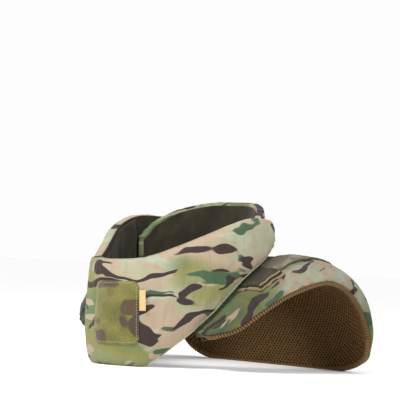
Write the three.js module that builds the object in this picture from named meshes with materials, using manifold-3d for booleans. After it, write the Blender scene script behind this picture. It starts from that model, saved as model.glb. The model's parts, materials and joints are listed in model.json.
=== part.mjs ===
// Tactical neck protector: a padded throat guard whose tails close round a standing back
// collar, on a horseshoe-shaped shoulder yoke lined with spacer mesh.
// Millimetres, Z up. The front faces -Y and the wearer's left is +X.
import * as THREE from 'three';
import { mergeVertices } from 'three/addons/utils/BufferGeometryUtils.js';
import Module from 'manifold-3d';

const wasm = await Module();
wasm.setup();

// Neck and collar
const neckRadius = 84; // clear inside of the back collar
const collarThickness = 11.5; // padded wall of the back collar
const liningThickness = 1.2; // cloth skins inside the guard and the collar
const napeHeight = 217; // top of the back collar above the back hem
const collarEndTurn = 90; // degrees from the front to each hidden end of the collar
const seatGap = 0.4; // clearance between pieces that touch

// Throat guard
const guardThickness = 12; // padded panel
const guardEdgeThickness = 7; // the same panel at its sewn edges
const throatRadius = 60; // outside of the guard round the throat
const throatForward = 85; // centre of the throat arc, ahead of the neck's axis
const tailTurn = 139; // degrees from the front to the end of each tail
const tailRound = 46; // length over which a tail rounds off
const guardBulge = 7; // how far the bib swells out below the rim
const ridgeHeight = 2; // soft crease down the middle of the bib
const ridgeWidth = 13;

// Loop patch and label
const patchRightEdge = -5; // along the guard from the middle, towards the wearer's right
const patchLeftEdge = 47;
const patchBottom = 51; // above the back hem
const patchTop = 128;
const patchCorner = 8;
const patchThickness = 1.8;
const labelWidth = 6.5;
const labelHeight = 25;
const labelTop = 117; // above the back hem
const labelThickness = 1.2;
const labelStand = 3; // how far the label's free edge stands off the guard

// Shoulder yoke
const halfWidth = 175; // from the middle to the widest point of the yoke
const backReach = 165; // from the neck's axis to the back hem
const saddleHeight = 151; // root of the yoke at the collar, above the back hem
const yokeThickness = 9; // padded and printed layer
const yokeHemThickness = 3; // the same layer at its bound hem
const meshThickness = 6; // spacer mesh under it
const crownExponent = 3; // how square the yoke's shoulders are
const floorTrim = 1.5; // depth cut flat where the bib and the back hem rest

// Webbing and straps on each shoulder
const webbingOuter = 130; // from the middle plane
const webbingBack = -138; // ahead of the neck's axis, so it lies behind it
const webbingThickness = 2;
const strapFront = 13; // ahead of the neck's axis
const strapBack = -24;
const strapInner = 99;
const strapOuter = 138;
const strapThickness = 2.2;
const baseMargin = 3.5; // how far the base shows round the strap
const baseThickness = 1.6;

// Heights of the guard along its half length, as shares of napeHeight
const guardRows = [
  { along: 0, top: 0.705, bottom: 0.108 },
  { along: 0.1, top: 0.708, bottom: 0.105 },
  { along: 0.172, top: 0.714, bottom: 0.102 },
  { along: 0.214, top: 0.724, bottom: 0.13 },
  { along: 0.342, top: 0.779, bottom: 0.235 },
  { along: 0.471, top: 0.843, bottom: 0.373 },
  { along: 0.606, top: 0.899, bottom: 0.539 },
  { along: 0.71, top: 0.922, bottom: 0.63 },
  { along: 0.848, top: 0.91, bottom: 0.7 },
  { along: 1, top: 0.89, bottom: 0.72 },
];

// Top of the back collar from its ends to the nape, as shares of napeHeight
const collarRows = [
  { along: 0, top: 0.8 },
  { along: 0.15, top: 0.88 },
  { along: 0.4, top: 0.955 },
  { along: 0.7, top: 0.995 },
  { along: 1, top: 1 },
];

// Sections of the yoke from the front tip to the middle of the back: the hem's place as
// shares of halfWidth and backReach, heights of the hem and of the root at the collar as
// shares of saddleHeight, and how far the section folds over, in degrees
const yokeRows = [
  { side: 0.406, ahead: 0.376, hem: 0.41, root: 0.42, fold: 30 },
  { side: 0.63, ahead: 0.46, hem: 0.43, root: 0.47, fold: 35 },
  { side: 0.8, ahead: 0.37, hem: 0.485, root: 0.59, fold: 38 },
  { side: 0.892, ahead: 0.23, hem: 0.61, root: 0.7, fold: 42 },
  { side: 0.935, ahead: 0.085, hem: 0.7, root: 0.78, fold: 45 },
  { side: 0.96, ahead: -0.055, hem: 0.765, root: 0.84, fold: 45 },
  { side: 0.989, ahead: -0.315, hem: 0.83, root: 0.93, fold: 50 },
  { side: 1, ahead: -0.497, hem: 0.82, root: 0.975, fold: 60 },
  { side: 1, ahead: -0.697, hem: 0.71, root: 1, fold: 75 },
  { side: 1, ahead: -0.87, hem: 0.47, root: 1, fold: 82 },
  { side: 0.97, ahead: -0.955, hem: 0.24, root: 1, fold: 85 },
  { side: 0.84, ahead: -0.99, hem: 0.086, root: 0.995, fold: 85 },
  { side: 0.6, ahead: -1, hem: 0.013, root: 0.98, fold: 85 },
  { side: 0.3, ahead: -1, hem: 0, root: 0.965, fold: 85 },
  { side: 0, ahead: -1, hem: 0, root: 0.96, fold: 85 },
];

const sideRadius = neckRadius + collarThickness + seatGap + guardThickness;
const throatTurn = Math.acos((sideRadius - throatRadius) / throatForward);
const throatArc = throatRadius * throatTurn;
const cheekLength = throatForward * Math.sin(throatTurn);
const tailArc = sideRadius * (THREE.MathUtils.degToRad(tailTurn) - throatTurn);
const guardHalfLength = throatArc + cheekLength + tailArc;
const collarRadius = neckRadius + collarThickness;
const strapStack = baseThickness + strapThickness + 3 * seatGap;

// Smooth curve through one column of a table, at a fractional row number
function tableAt(rows, column, position, mirroredEnd = false) {
  const last = rows.length - 1;
  const index = Math.min(Math.floor(position), last - 1);
  const beyond = mirroredEnd ? last - 1 : last;
  const a = rows[Math.max(index - 1, 0)][column];
  const b = rows[index][column];
  const c = rows[index + 1][column];
  const d = rows[index + 2 > last ? beyond : index + 2][column];
  const t = position - index;
  const cubic = (3 * b - a - 3 * c + d) * t ** 3 + (2 * a - 5 * b + 4 * c - d) * t ** 2;
  return b + 0.5 * ((c - a) * t + cubic);
}

// Fractional row number at which a rising key column reaches a value
function rowAt(rows, column, value) {
  let index = 0;
  while (index < rows.length - 2 && rows[index + 1][column] < value) {
    index += 1;
  }
  const low = rows[index][column];
  const high = rows[index + 1][column];
  return index + (value - low) / (high - low);
}

// The guard's outside in plan: distance from the middle, positive towards the wearer's left
function guardPlan(distance, lift) {
  const side = Math.sign(distance) || 1;
  const length = Math.abs(distance);
  let turn = Math.min(length / throatRadius, throatTurn);
  const point = new THREE.Vector2(0, -throatForward);
  if (length > throatArc + cheekLength) {
    turn = throatTurn + (length - throatArc - cheekLength) / sideRadius;
    point.set(0, 0);
    point.add(new THREE.Vector2(Math.sin(turn), -Math.cos(turn)).multiplyScalar(sideRadius + lift));
  } else {
    point.add(new THREE.Vector2(Math.sin(turn), -Math.cos(turn)).multiplyScalar(throatRadius + lift));
    const run = Math.max(length - throatArc, 0);
    point.add(new THREE.Vector2(Math.cos(turn), Math.sin(turn)).multiplyScalar(run));
  }
  return new THREE.Vector2(side * point.x, point.y);
}

// Lower and upper edge of the guard at a distance from the middle
function guardEdges(distance) {
  const length = Math.abs(distance);
  const row = rowAt(guardRows, 'along', length / guardHalfLength);
  let top = napeHeight * tableAt(guardRows, 'top', row);
  let bottom = napeHeight * tableAt(guardRows, 'bottom', row);
  const place = guardPlan(distance, -guardThickness);
  bottom = Math.max(bottom, yokeTop(place.x, place.y) + strapStack);
  const rounding = (length - guardHalfLength + tailRound) / tailRound;
  if (rounding > 0) {
    const middle = (top + bottom) / 2;
    const kept = Math.sqrt(1 - 0.88 * rounding ** 2);
    top = middle + (top - middle) * kept;
    bottom = middle - (middle - bottom) * kept;
  }
  return { top, bottom };
}

// A point on the guard, lifted off its outside, at a share of the way up
function guardPoint(distance, share, lift) {
  const { top, bottom } = guardEdges(distance);
  const frontness = THREE.MathUtils.smoothstep(guardHalfLength * 0.62 - Math.abs(distance), 0, guardHalfLength * 0.5);
  const swell = guardBulge * frontness * Math.sin(Math.PI * share ** 0.7);
  const ridge = ridgeHeight * Math.exp(-((distance / ridgeWidth) ** 2));
  const plan = guardPlan(distance, lift + swell + ridge);
  return new THREE.Vector3(plan.x, plan.y, bottom + (top - bottom) * share);
}

// A point on the guard at a given height above the back hem
function guardPointAtHeight(distance, height, lift) {
  const { top, bottom } = guardEdges(distance);
  return guardPoint(distance, (height - bottom) / (top - bottom), lift);
}

// One section of the yoke: where the hem and the root are, and how the section folds
function yokeSection(position) {
  const row = Math.min(position, 2 * (yokeRows.length - 1) - position);
  const side = position > yokeRows.length - 1 ? -1 : 1;
  const hem = new THREE.Vector2(
    side * halfWidth * tableAt(yokeRows, 'side', row, true),
    -backReach * tableAt(yokeRows, 'ahead', row, true),
  );
  if (row === yokeRows.length - 1) {
    hem.x = 0;
  }
  return {
    hem,
    hemHeight: saddleHeight * tableAt(yokeRows, 'hem', row, true),
    rootHeight: saddleHeight * tableAt(yokeRows, 'root', row, true),
    fold: THREE.MathUtils.degToRad(tableAt(yokeRows, 'fold', row, true)),
  };
}

// Height on a section at a share of the way from the root out to the hem
function sectionHeight(section, outward) {
  const power = 2 / crownExponent;
  const sine = Math.sin(section.fold) * Math.min(Math.max(outward, 0), 1) ** (1 / power);
  const floor = Math.cos(section.fold) ** power;
  const level = ((1 - sine ** 2) ** (power / 2) - floor) / (1 - floor);
  return section.hemHeight + (section.rootHeight - section.hemHeight) * level;
}

// A point on top of the yoke: section number, and share of its fold from root to hem
function yokePoint(position, share) {
  const section = yokeSection(position);
  const outward = (Math.sin(section.fold * share) / Math.sin(section.fold)) ** (2 / crownExponent);
  const reach = section.hem.length();
  const radius = neckRadius + (reach - neckRadius) * outward;
  const plan = section.hem.clone().multiplyScalar(radius / reach);
  return new THREE.Vector3(plan.x, plan.y, sectionHeight(section, outward));
}

// The same surface moved along its own normal, for the layers of the yoke
function yokeLayer(position, share, lift) {
  const step = 0.02;
  const last = 2 * (yokeRows.length - 1);
  const along = [Math.max(position - step, 0), Math.min(position + step, last)];
  const across = [Math.max(share - step, 0), Math.min(share + step, 1)];
  const run = yokePoint(along[1], share).sub(yokePoint(along[0], share));
  const fall = yokePoint(position, across[1]).sub(yokePoint(position, across[0]));
  const normal = fall.cross(run).normalize();
  return yokePoint(position, share).addScaledVector(normal, lift);
}

// Height of the top of the yoke over a point in plan, or none beyond its tips and hem
function yokeTop(x, y) {
  const turn = (position) => Math.atan2(yokeSection(position).hem.x, -yokeSection(position).hem.y);
  const wanted = Math.atan2(Math.abs(x), -y);
  let low = 0;
  let high = yokeRows.length - 1;
  if (wanted < turn(low)) {
    return -Infinity;
  }
  for (let step = 0; step < 24; step += 1) {
    const middle = (low + high) / 2;
    if (turn(middle) < wanted) {
      low = middle;
    } else {
      high = middle;
    }
  }
  const section = yokeSection(low);
  const outward = (Math.hypot(x, y) - neckRadius) / (section.hem.length() - neckRadius);
  return outward > 1 ? -Infinity : sectionHeight(section, outward);
}

// A closed sheet between two surfaces over the same grid of columns and rows
function sheet(outside, inside, columns, rows) {
  const positions = [];
  const indices = [];
  const stride = rows + 1;
  for (const surface of [outside, inside]) {
    for (let i = 0; i <= columns; i += 1) {
      for (let j = 0; j <= rows; j += 1) {
        positions.push(...surface(i / columns, j / rows).toArray());
      }
    }
  }
  const inner = (columns + 1) * stride;
  const quad = (a, b, c, d) => indices.push(a, b, c, a, c, d);
  for (let i = 0; i < columns; i += 1) {
    for (let j = 0; j < rows; j += 1) {
      const a = i * stride + j;
      quad(a, a + stride, a + stride + 1, a + 1);
      quad(inner + a, inner + a + 1, inner + a + stride + 1, inner + a + stride);
    }
    const low = i * stride;
    const high = low + rows;
    quad(low, inner + low, inner + low + stride, low + stride);
    quad(high, high + stride, inner + high + stride, inner + high);
  }
  for (let j = 0; j < rows; j += 1) {
    const last = columns * stride + j;
    quad(j, j + 1, inner + j + 1, inner + j);
    quad(last, inner + last, inner + last + 1, last + 1);
  }
  const geometry = new THREE.BufferGeometry();
  geometry.setAttribute('position', new THREE.Float32BufferAttribute(positions, 3));
  geometry.setIndex(indices);
  return facingOut(geometry);
}

// Turns a closed geometry's faces round if they point into it
function facingOut(geometry) {
  const position = geometry.getAttribute('position');
  const index = geometry.getIndex().array;
  let volume = 0;
  const corner = [new THREE.Vector3(), new THREE.Vector3(), new THREE.Vector3()];
  for (let i = 0; i < index.length; i += 3) {
    corner.forEach((point, k) => point.fromBufferAttribute(position, index[i + k]));
    volume += corner[0].dot(corner[1].clone().cross(corner[2]));
  }
  if (volume < 0) {
    index.reverse();
  }
  return geometry;
}

// At rest the whole protector leans forward until bib and back hem both touch the surface
const bibHeight = napeHeight * guardRows[0].bottom;
const bibForward = throatForward + throatRadius;
const restPitch = Math.atan2(bibHeight, bibForward + backReach);
const restLevel = backReach * Math.sin(restPitch) + floorTrim;
const restPose = new THREE.Matrix4().makeTranslation(0, 0, -restLevel)
  .multiply(new THREE.Matrix4().makeRotationX(restPitch));

function toSolid(geometry) {
  const bare = geometry.clone();
  bare.deleteAttribute('normal');
  bare.deleteAttribute('uv');
  const merged = mergeVertices(bare);
  return new wasm.Manifold(new wasm.Mesh({
    numProp: 3,
    vertProperties: new Float32Array(merged.getAttribute('position').array),
    triVerts: new Uint32Array(merged.getIndex().array),
  }));
}

// Cuts away what would lie under the surface that the protector rests on
function trimFlat(geometry) {
  const span = 4 * (halfWidth + backReach);
  const ground = new THREE.BoxGeometry(span, span, span).translate(0, 0, -span / 2);
  const cut = toSolid(geometry).subtract(toSolid(ground)).getMesh();
  const trimmed = new THREE.BufferGeometry();
  trimmed.setAttribute('position', new THREE.BufferAttribute(cut.vertProperties, 3));
  trimmed.setIndex(new THREE.BufferAttribute(cut.triVerts, 1));
  return trimmed;
}

const part = new THREE.Group();

function addPiece(name, geometry, material, restsOnSurface = false) {
  geometry.applyMatrix4(restPose);
  const finished = restsOnSurface ? trimFlat(geometry) : geometry;
  finished.computeVertexNormals();
  const mesh = new THREE.Mesh(finished, material);
  mesh.name = name;
  part.add(mesh);
}

const cloth = (color, roughness) => new THREE.MeshStandardMaterial({ color, roughness, metalness: 0 });
const printedFabric = cloth(0xa3a27c, 0.85);
const darkLining = cloth(0x2f2b1c, 0.9);
const loopPile = cloth(0x8c8442, 0.95);
const labelCloth = cloth(0xe0c38f, 0.7);
const spacerFabric = cloth(0x5c4423, 0.8);
const ribbedWebbing = cloth(0x7d745c, 0.8);
const strapFabric = cloth(0x5f573c, 0.8);

// How much a padded panel keeps of its thickness near its edges, from 0 to 1
const padding = (share) => 1 - Math.abs(2 * share - 1) ** 6;

function throatGuard() {
  const taper = guardThickness - guardEdgeThickness;
  const outside = (u, v) => {
    const thin = taper * (1 - padding(v) * padding(u));
    return guardPoint(guardHalfLength * (2 * u - 1), v, -thin);
  };
  const inside = (u, v) => guardPoint(guardHalfLength * (2 * u - 1), v, -guardThickness);
  addPiece('throat_guard', sheet(outside, inside, 52, 9), printedFabric, true);
}

function guardLining() {
  const endTurn = THREE.MathUtils.degToRad(collarEndTurn - 3);
  const reach = throatArc + cheekLength + (endTurn - throatTurn) * sideRadius;
  const edge = 0.05;
  const at = (depth) => (u, v) => {
    const share = edge + (1 - 2 * edge) * v;
    return guardPoint(reach * (2 * u - 1), share, -guardThickness - depth);
  };
  const geometry = sheet(at(2.5 * seatGap), at(2.5 * seatGap + liningThickness), 36, 6);
  addPiece('guard_lining', geometry, darkLining);
}

function loopPatch() {
  const width = patchLeftEdge - patchRightEdge;
  const at = (lift) => (u, v) => {
    const fromEnd = width * Math.min(u, 1 - u);
    const missing = Math.max(patchCorner - fromEnd, 0);
    const inset = patchCorner - Math.sqrt(patchCorner ** 2 - missing ** 2 * 0.96);
    const height = THREE.MathUtils.lerp(patchBottom + inset, patchTop - inset, v);
    return guardPointAtHeight(patchRightEdge + width * u, height, lift);
  };
  const geometry = sheet(at(seatGap + patchThickness), at(seatGap), 16, 8);
  addPiece('loop_patch', geometry, loopPile);
}

function sideLabel() {
  const start = patchLeftEdge + seatGap;
  const at = (thickness) => (u, v) => {
    const lift = seatGap + labelStand * u ** 2 + thickness;
    return guardPointAtHeight(start + labelWidth * u, labelTop - labelHeight * (1 - v), lift);
  };
  addPiece('side_label', sheet(at(labelThickness), at(0), 4, 4), labelCloth);
}

// A band round the back of the neck between two radii, standing on the yoke's root
function collarBand(outerRadius, innerRadius, rimDrop, edgeThinning, rows) {
  const startTurn = THREE.MathUtils.degToRad(collarEndTurn);
  const at = (radius, thinning) => (u, v) => {
    const turn = startTurn + (2 * Math.PI - 2 * startTurn) * u;
    const thin = thinning * (1 - padding(v) * padding(u));
    const row = rowAt(collarRows, 'along', 1 - Math.abs(2 * u - 1));
    const top = napeHeight * tableAt(collarRows, 'top', row, true) - rimDrop;
    const x = Math.sin(turn);
    const y = -Math.cos(turn);
    const foot = yokeTop(neckRadius * x, neckRadius * y) + 2 * seatGap;
    const width = radius + thin;
    return new THREE.Vector3(width * x, width * y, THREE.MathUtils.lerp(foot, top, v));
  };
  return sheet(at(outerRadius, 0), at(innerRadius, edgeThinning), 30, rows);
}

function backCollar() {
  const collar = collarBand(collarRadius, neckRadius, 0, collarThickness / 3, 6);
  addPiece('back_collar', collar, printedFabric);
  const rimDrop = collarThickness / 2;
  const liningRadius = neckRadius - seatGap;
  const lining = collarBand(liningRadius, liningRadius - liningThickness, rimDrop, 0, 4);
  addPiece('collar_lining', lining, darkLining);
}

function shoulderYoke() {
  const last = 2 * (yokeRows.length - 1);
  const pad = (share) => {
    const hemming = THREE.MathUtils.smoothstep(share, 0.7, 1);
    return THREE.MathUtils.lerp(yokeThickness, yokeHemThickness, hemming);
  };
  const top = (u, v) => yokeLayer(last * u, v, 0);
  const under = (depth) => (u, v) => yokeLayer(last * u, v, -pad(v) - depth);
  addPiece('shoulder_yoke', sheet(top, under(0), 60, 8), printedFabric, true);
  const lining = sheet(under(seatGap), under(seatGap + meshThickness), 60, 8);
  addPiece('spacer_mesh', lining, spacerFabric, true);
}

// A flat band laid on the yoke over a rectangle in plan, on one side of the body
function laidBand(side, inner, outer, front, back, lift, thickness, columns, rows) {
  const at = (rise) => (u, v) => {
    const x = THREE.MathUtils.lerp(inner, outer, v);
    const y = -THREE.MathUtils.lerp(front, back, u);
    return new THREE.Vector3(side * x, y, yokeTop(x, y) + rise);
  };
  return sheet(at(lift + thickness), at(lift), columns, rows);
}

function shoulderStraps(side, suffix) {
  const baseBack = strapBack - seatGap;
  const webbing = laidBand(
    side, collarRadius + 2 * seatGap, webbingOuter, baseBack - 2 * seatGap, webbingBack,
    seatGap, webbingThickness, 12, 4);
  addPiece(`shoulder_webbing_${suffix}`, webbing, ribbedWebbing);
  const base = laidBand(
    side, strapInner, strapOuter + baseMargin, strapFront + baseMargin, baseBack,
    seatGap, baseThickness, 5, 4);
  addPiece(`strap_base_${suffix}`, base, printedFabric);
  const strapLift = baseThickness + 2 * seatGap;
  const strap = laidBand(
    side, strapInner, strapOuter, strapFront, strapBack, strapLift, strapThickness, 5, 4);
  addPiece(`cross_strap_${suffix}`, strap, strapFabric);
}

throatGuard();
guardLining();
loopPatch();
sideLabel();
backCollar();
shoulderYoke();
shoulderStraps(1, 'left');
shoulderStraps(-1, 'right');

// The origin is the middle of the footprint, on the surface
const bounds = new THREE.Box3().setFromObject(part);
part.position.y = -(bounds.min.y + bounds.max.y) / 2;

export default part;
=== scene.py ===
# %% [markdown]
# # A tactical neck protector
# A padded throat guard closes round a standing back collar. Both stand on a yoke that
# lies over the shoulders and is lined with thick spacer mesh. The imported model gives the
# size and place of every piece, and this lesson gives each one its cloth.

# %% Load the frame
import json
import math
from bisect import bisect_left

import bmesh
import bpy
from mathutils import Matrix, Vector, noise
from mathutils.bvhtree import BVHTree

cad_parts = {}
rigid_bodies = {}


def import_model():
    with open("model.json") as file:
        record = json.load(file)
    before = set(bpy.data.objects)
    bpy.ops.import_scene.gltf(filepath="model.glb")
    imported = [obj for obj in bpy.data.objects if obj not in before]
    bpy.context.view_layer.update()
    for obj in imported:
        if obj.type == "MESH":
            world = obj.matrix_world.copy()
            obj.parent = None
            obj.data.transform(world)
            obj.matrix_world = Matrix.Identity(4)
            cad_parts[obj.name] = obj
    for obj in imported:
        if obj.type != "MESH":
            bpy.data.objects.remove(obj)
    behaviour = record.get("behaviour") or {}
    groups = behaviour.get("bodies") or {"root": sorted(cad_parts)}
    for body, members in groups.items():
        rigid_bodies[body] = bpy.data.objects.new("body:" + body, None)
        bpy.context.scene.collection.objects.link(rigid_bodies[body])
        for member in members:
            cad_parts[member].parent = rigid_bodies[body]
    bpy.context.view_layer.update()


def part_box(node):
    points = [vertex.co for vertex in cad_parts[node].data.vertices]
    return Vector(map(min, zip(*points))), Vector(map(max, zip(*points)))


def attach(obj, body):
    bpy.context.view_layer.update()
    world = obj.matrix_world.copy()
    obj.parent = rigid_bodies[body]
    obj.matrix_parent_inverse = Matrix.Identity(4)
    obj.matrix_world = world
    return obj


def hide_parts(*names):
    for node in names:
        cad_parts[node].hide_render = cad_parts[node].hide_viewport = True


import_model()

# %% [markdown]
# ## Driving sizes
# A sewn thing is easiest to lay out upright, as it is worn, in millimetres. The same
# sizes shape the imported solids, so each cloth piece lands on its solid. The last step of
# every piece leans it forward to the way it rests and turns millimetres into metres.

# %% Sizes in millimetres
MM = 0.001
NECK_RADIUS = 84
COLLAR_THICKNESS = 11.5
SEAT_GAP = 0.4
NAPE_HEIGHT = 217
COLLAR_END_TURN = math.radians(90)
GUARD_THICKNESS = 12
GUARD_EDGE_THICKNESS = 7
THROAT_RADIUS = 60
THROAT_FORWARD = 85
TAIL_TURN = math.radians(139)
TAIL_ROUND = 46
GUARD_BULGE = 7
RIDGE_HEIGHT = 2
RIDGE_WIDTH = 13
HALF_WIDTH = 175
BACK_REACH = 165
SADDLE_HEIGHT = 151
YOKE_THICKNESS = 9
YOKE_HEM_THICKNESS = 3
MESH_THICKNESS = 6
STRAP_THICKNESS, BASE_THICKNESS = 2.2, 1.6
CROWN_EXPONENT = 3
FLOOR_TRIM = 1.5

COLLAR_RADIUS = NECK_RADIUS + COLLAR_THICKNESS
SIDE_RADIUS = COLLAR_RADIUS + SEAT_GAP + GUARD_THICKNESS
THROAT_TURN = math.acos((SIDE_RADIUS - THROAT_RADIUS) / THROAT_FORWARD)
THROAT_ARC = THROAT_RADIUS * THROAT_TURN
CHEEK_LENGTH = THROAT_FORWARD * math.sin(THROAT_TURN)
GUARD_HALF = THROAT_ARC + CHEEK_LENGTH + SIDE_RADIUS * (TAIL_TURN - THROAT_TURN)
print("half length of the guard in mm:", round(GUARD_HALF, 1))

# %% [markdown]
# ## Tables of sections
# Each row is one section of the pattern. The guard's and the collar's rows hold heights
# as shares of the nape height. The yoke's rows hold where the hem runs in plan, how high
# the hem and the root are, and how far the section folds over in degrees.

# %% Tables
# Guard rows: share of the half length, top edge, bottom edge.
GUARD_ROWS = [
    (0, 0.705, 0.108), (0.1, 0.708, 0.105), (0.172, 0.714, 0.102), (0.214, 0.724, 0.13),
    (0.342, 0.779, 0.235), (0.471, 0.843, 0.373), (0.606, 0.899, 0.539),
    (0.71, 0.922, 0.63), (0.848, 0.91, 0.7), (1, 0.89, 0.72),
]
# Collar rows: share of the way from an end to the middle, top edge.
COLLAR_ROWS = [(0, 0.8), (0.15, 0.88), (0.4, 0.955), (0.7, 0.995), (1, 1)]
YOKE_COLUMNS = ("side", "ahead", "hem", "root", "fold")
YOKE_ROWS = [
    (0.406, 0.376, 0.41, 0.42, 30), (0.63, 0.46, 0.43, 0.47, 35),
    (0.8, 0.37, 0.485, 0.59, 38), (0.892, 0.23, 0.61, 0.7, 42),
    (0.935, 0.085, 0.7, 0.78, 45), (0.96, -0.055, 0.765, 0.84, 45),
    (0.989, -0.315, 0.83, 0.93, 50), (1, -0.497, 0.82, 0.975, 60),
    (1, -0.697, 0.71, 1, 75), (1, -0.87, 0.47, 1, 82), (0.97, -0.955, 0.24, 1, 85),
    (0.84, -0.99, 0.086, 0.995, 85), (0.6, -1, 0.013, 0.98, 85),
    (0.3, -1, 0, 0.965, 85), (0, -1, 0, 0.96, 85),
]
LAST_ROW = len(YOKE_ROWS) - 1
print("sections of guard, collar and half a yoke:",
      len(GUARD_ROWS), len(COLLAR_ROWS), len(YOKE_ROWS))

# %% [markdown]
# ## A smooth curve through a table
# Between two rows a spline gives a curve without corners, as a cutter's flexible ruler
# does. Straight lines between rows would leave ridges in the padded surfaces.

# %% Curve through a table


def table_at(rows, column, position, mirrored_end=False):
    """Catmull-Rom curve through one column, at a fractional row number."""
    last = len(rows) - 1
    index = min(int(position), last - 1)
    beyond = last - 1 if mirrored_end else last
    a = rows[max(index - 1, 0)][column]
    b, c = rows[index][column], rows[index + 1][column]
    d = rows[beyond if index + 2 > last else index + 2][column]
    t = position - index
    bend = (3 * b - a - 3 * c + d) * t ** 3 + (2 * a - 5 * b + 4 * c - d) * t ** 2
    return b + 0.5 * ((c - a) * t + bend)


def row_at(rows, value):
    """Fractional row number at which the first column reaches a value."""
    index = 0
    while index < len(rows) - 2 and rows[index + 1][0] < value:
        index += 1
    low, high = rows[index][0], rows[index + 1][0]
    return index + (value - low) / (high - low)


def smoothstep(x, low, high):
    t = min(max((x - low) / (high - low), 0), 1)
    return t * t * (3 - 2 * t)


print("guard's top in mm at a quarter of its half length:",
      round(NAPE_HEIGHT * table_at(GUARD_ROWS, 1, row_at(GUARD_ROWS, 0.25)), 1))

# %% [markdown]
# ## The guard in plan
# Seen from above the guard follows an egg: an arc round the throat, a straight cheek and
# a wide arc round the nape. Arcs and a line are what a pattern cutter would draw, and they
# give the place of any point from its distance along the cloth.

# %% Guard in plan


def around(turn, radius):
    return Vector((math.sin(turn), -math.cos(turn))) * radius


def guard_plan(distance, lift):
    side = -1 if distance < 0 else 1
    length = abs(distance)
    if length > THROAT_ARC + CHEEK_LENGTH:
        turn = THROAT_TURN + (length - THROAT_ARC - CHEEK_LENGTH) / SIDE_RADIUS
        point = around(turn, SIDE_RADIUS + lift)
    else:
        turn = min(length / THROAT_RADIUS, THROAT_TURN)
        run = max(length - THROAT_ARC, 0)
        ahead = Vector((math.cos(turn), math.sin(turn))) * run
        point = Vector((0, -THROAT_FORWARD)) + around(turn, THROAT_RADIUS + lift) + ahead
    return Vector((side * point.x, point.y))


print("tail of the guard in plan, mm:", [round(c, 1) for c in guard_plan(GUARD_HALF, 0)])

# %% [markdown]
# ## The yoke in sections
# The yoke is a fan of sections, each a quarter of a squared-off ellipse from the root at
# the collar out to the hem. The table says where each hem lies, so that one function gives
# every point of the saddle.

# %% Yoke sections


def yoke_section(position):
    row = min(position, 2 * LAST_ROW - position)
    side = -1 if position > LAST_ROW else 1
    at = {name: table_at(YOKE_ROWS, i, row, True) for i, name in enumerate(YOKE_COLUMNS)}
    across = 0 if row == LAST_ROW else side * HALF_WIDTH * at["side"]
    hem = Vector((across, -BACK_REACH * at["ahead"]))
    return hem, SADDLE_HEIGHT * at["hem"], SADDLE_HEIGHT * at["root"], math.radians(at["fold"])


def section_height(section, outward):
    _, hem_height, root_height, fold = section
    power = 2 / CROWN_EXPONENT
    sine = math.sin(fold) * min(max(outward, 0), 1) ** (1 / power)
    floor = math.cos(fold) ** power
    level = ((1 - sine ** 2) ** (power / 2) - floor) / (1 - floor)
    return hem_height + (root_height - hem_height) * level


def yoke_point(position, share):
    section = yoke_section(position)
    hem, fold = section[0], section[3]
    outward = (math.sin(fold * share) / math.sin(fold)) ** (2 / CROWN_EXPONENT)
    plan = hem * ((NECK_RADIUS + (hem.length - NECK_RADIUS) * outward) / hem.length)
    return Vector((plan.x, plan.y, section_height(section, outward)))


def yoke_layer(position, share, lift):
    """A point of the yoke moved along its own normal."""
    step = 0.02
    along = (max(position - step, 0), min(position + step, 2 * LAST_ROW))
    across = (max(share - step, 0), min(share + step, 1))
    run = yoke_point(along[1], share) - yoke_point(along[0], share)
    fall = yoke_point(position, across[1]) - yoke_point(position, across[0])
    return yoke_point(position, share) + fall.cross(run).normalized() * lift


print("shoulder's crown in mm:", [round(c, 1) for c in yoke_point(7, 0.5)])

# %% [markdown]
# ## The height of the yoke
# Collar, guard and straps stand on the yoke, so they ask how high it is at a place in
# plan. Halving the range of sections until one lies over that place answers this.

# %% Height of the yoke
HALVINGS = 22


def heading(position):
    hem = yoke_section(position)[0]
    return math.atan2(hem.x, -hem.y)


def yoke_top(x, y):
    """Height of the yoke over a point in plan, or None beyond its tips and hem."""
    wanted = math.atan2(abs(x), -y)
    low, high = 0.0, float(LAST_ROW)
    if wanted < heading(low):
        return None
    for _ in range(HALVINGS):
        middle = (low + high) / 2
        if heading(middle) < wanted:
            low = middle
        else:
            high = middle
    section = yoke_section(low)
    outward = (math.hypot(x, y) - NECK_RADIUS) / (section[0].length - NECK_RADIUS)
    return None if outward > 1 else section_height(section, outward)


print("yoke under the left strap in mm:", round(yoke_top(HALF_WIDTH * 0.7, 0), 1))

# %% [markdown]
# ## The guard's edges
# The guard's foot rises over the shoulders and leaves room for the straps that come out
# from under it. Its tails end round. Each pair of heights is kept once it is found,
# because every layer of the guard asks for the same ones.

# %% Guard edges
STRAP_STACK = BASE_THICKNESS + STRAP_THICKNESS + 3 * SEAT_GAP
TAIL_FALL = 0.88
EDGE_CACHE = {}


def guard_edges(distance):
    key = round(abs(distance), 4)
    if key not in EDGE_CACHE:
        row = row_at(GUARD_ROWS, key / GUARD_HALF)
        top = NAPE_HEIGHT * table_at(GUARD_ROWS, 1, row)
        bottom = NAPE_HEIGHT * table_at(GUARD_ROWS, 2, row)
        place = guard_plan(key, -GUARD_THICKNESS)
        saddle = yoke_top(place.x, place.y)
        if saddle is not None:
            bottom = max(bottom, saddle + STRAP_STACK)
        rounding = (key - GUARD_HALF + TAIL_ROUND) / TAIL_ROUND
        if rounding > 0:
            middle = (top + bottom) / 2
            kept = math.sqrt(1 - TAIL_FALL * rounding ** 2)
            top, bottom = middle + (top - middle) * kept, middle - (middle - bottom) * kept
        EDGE_CACHE[key] = (top, bottom)
    return EDGE_CACHE[key]


print("guard at the throat, top and foot in mm:", [round(edge, 1) for edge in guard_edges(0)])

# %% [markdown]
# ## The guard's surface
# The bib bulges forward and has a soft ridge down its middle, because the padding is
# folded there. Both fade out along the cheeks. Lift moves a point through the padding.

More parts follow.
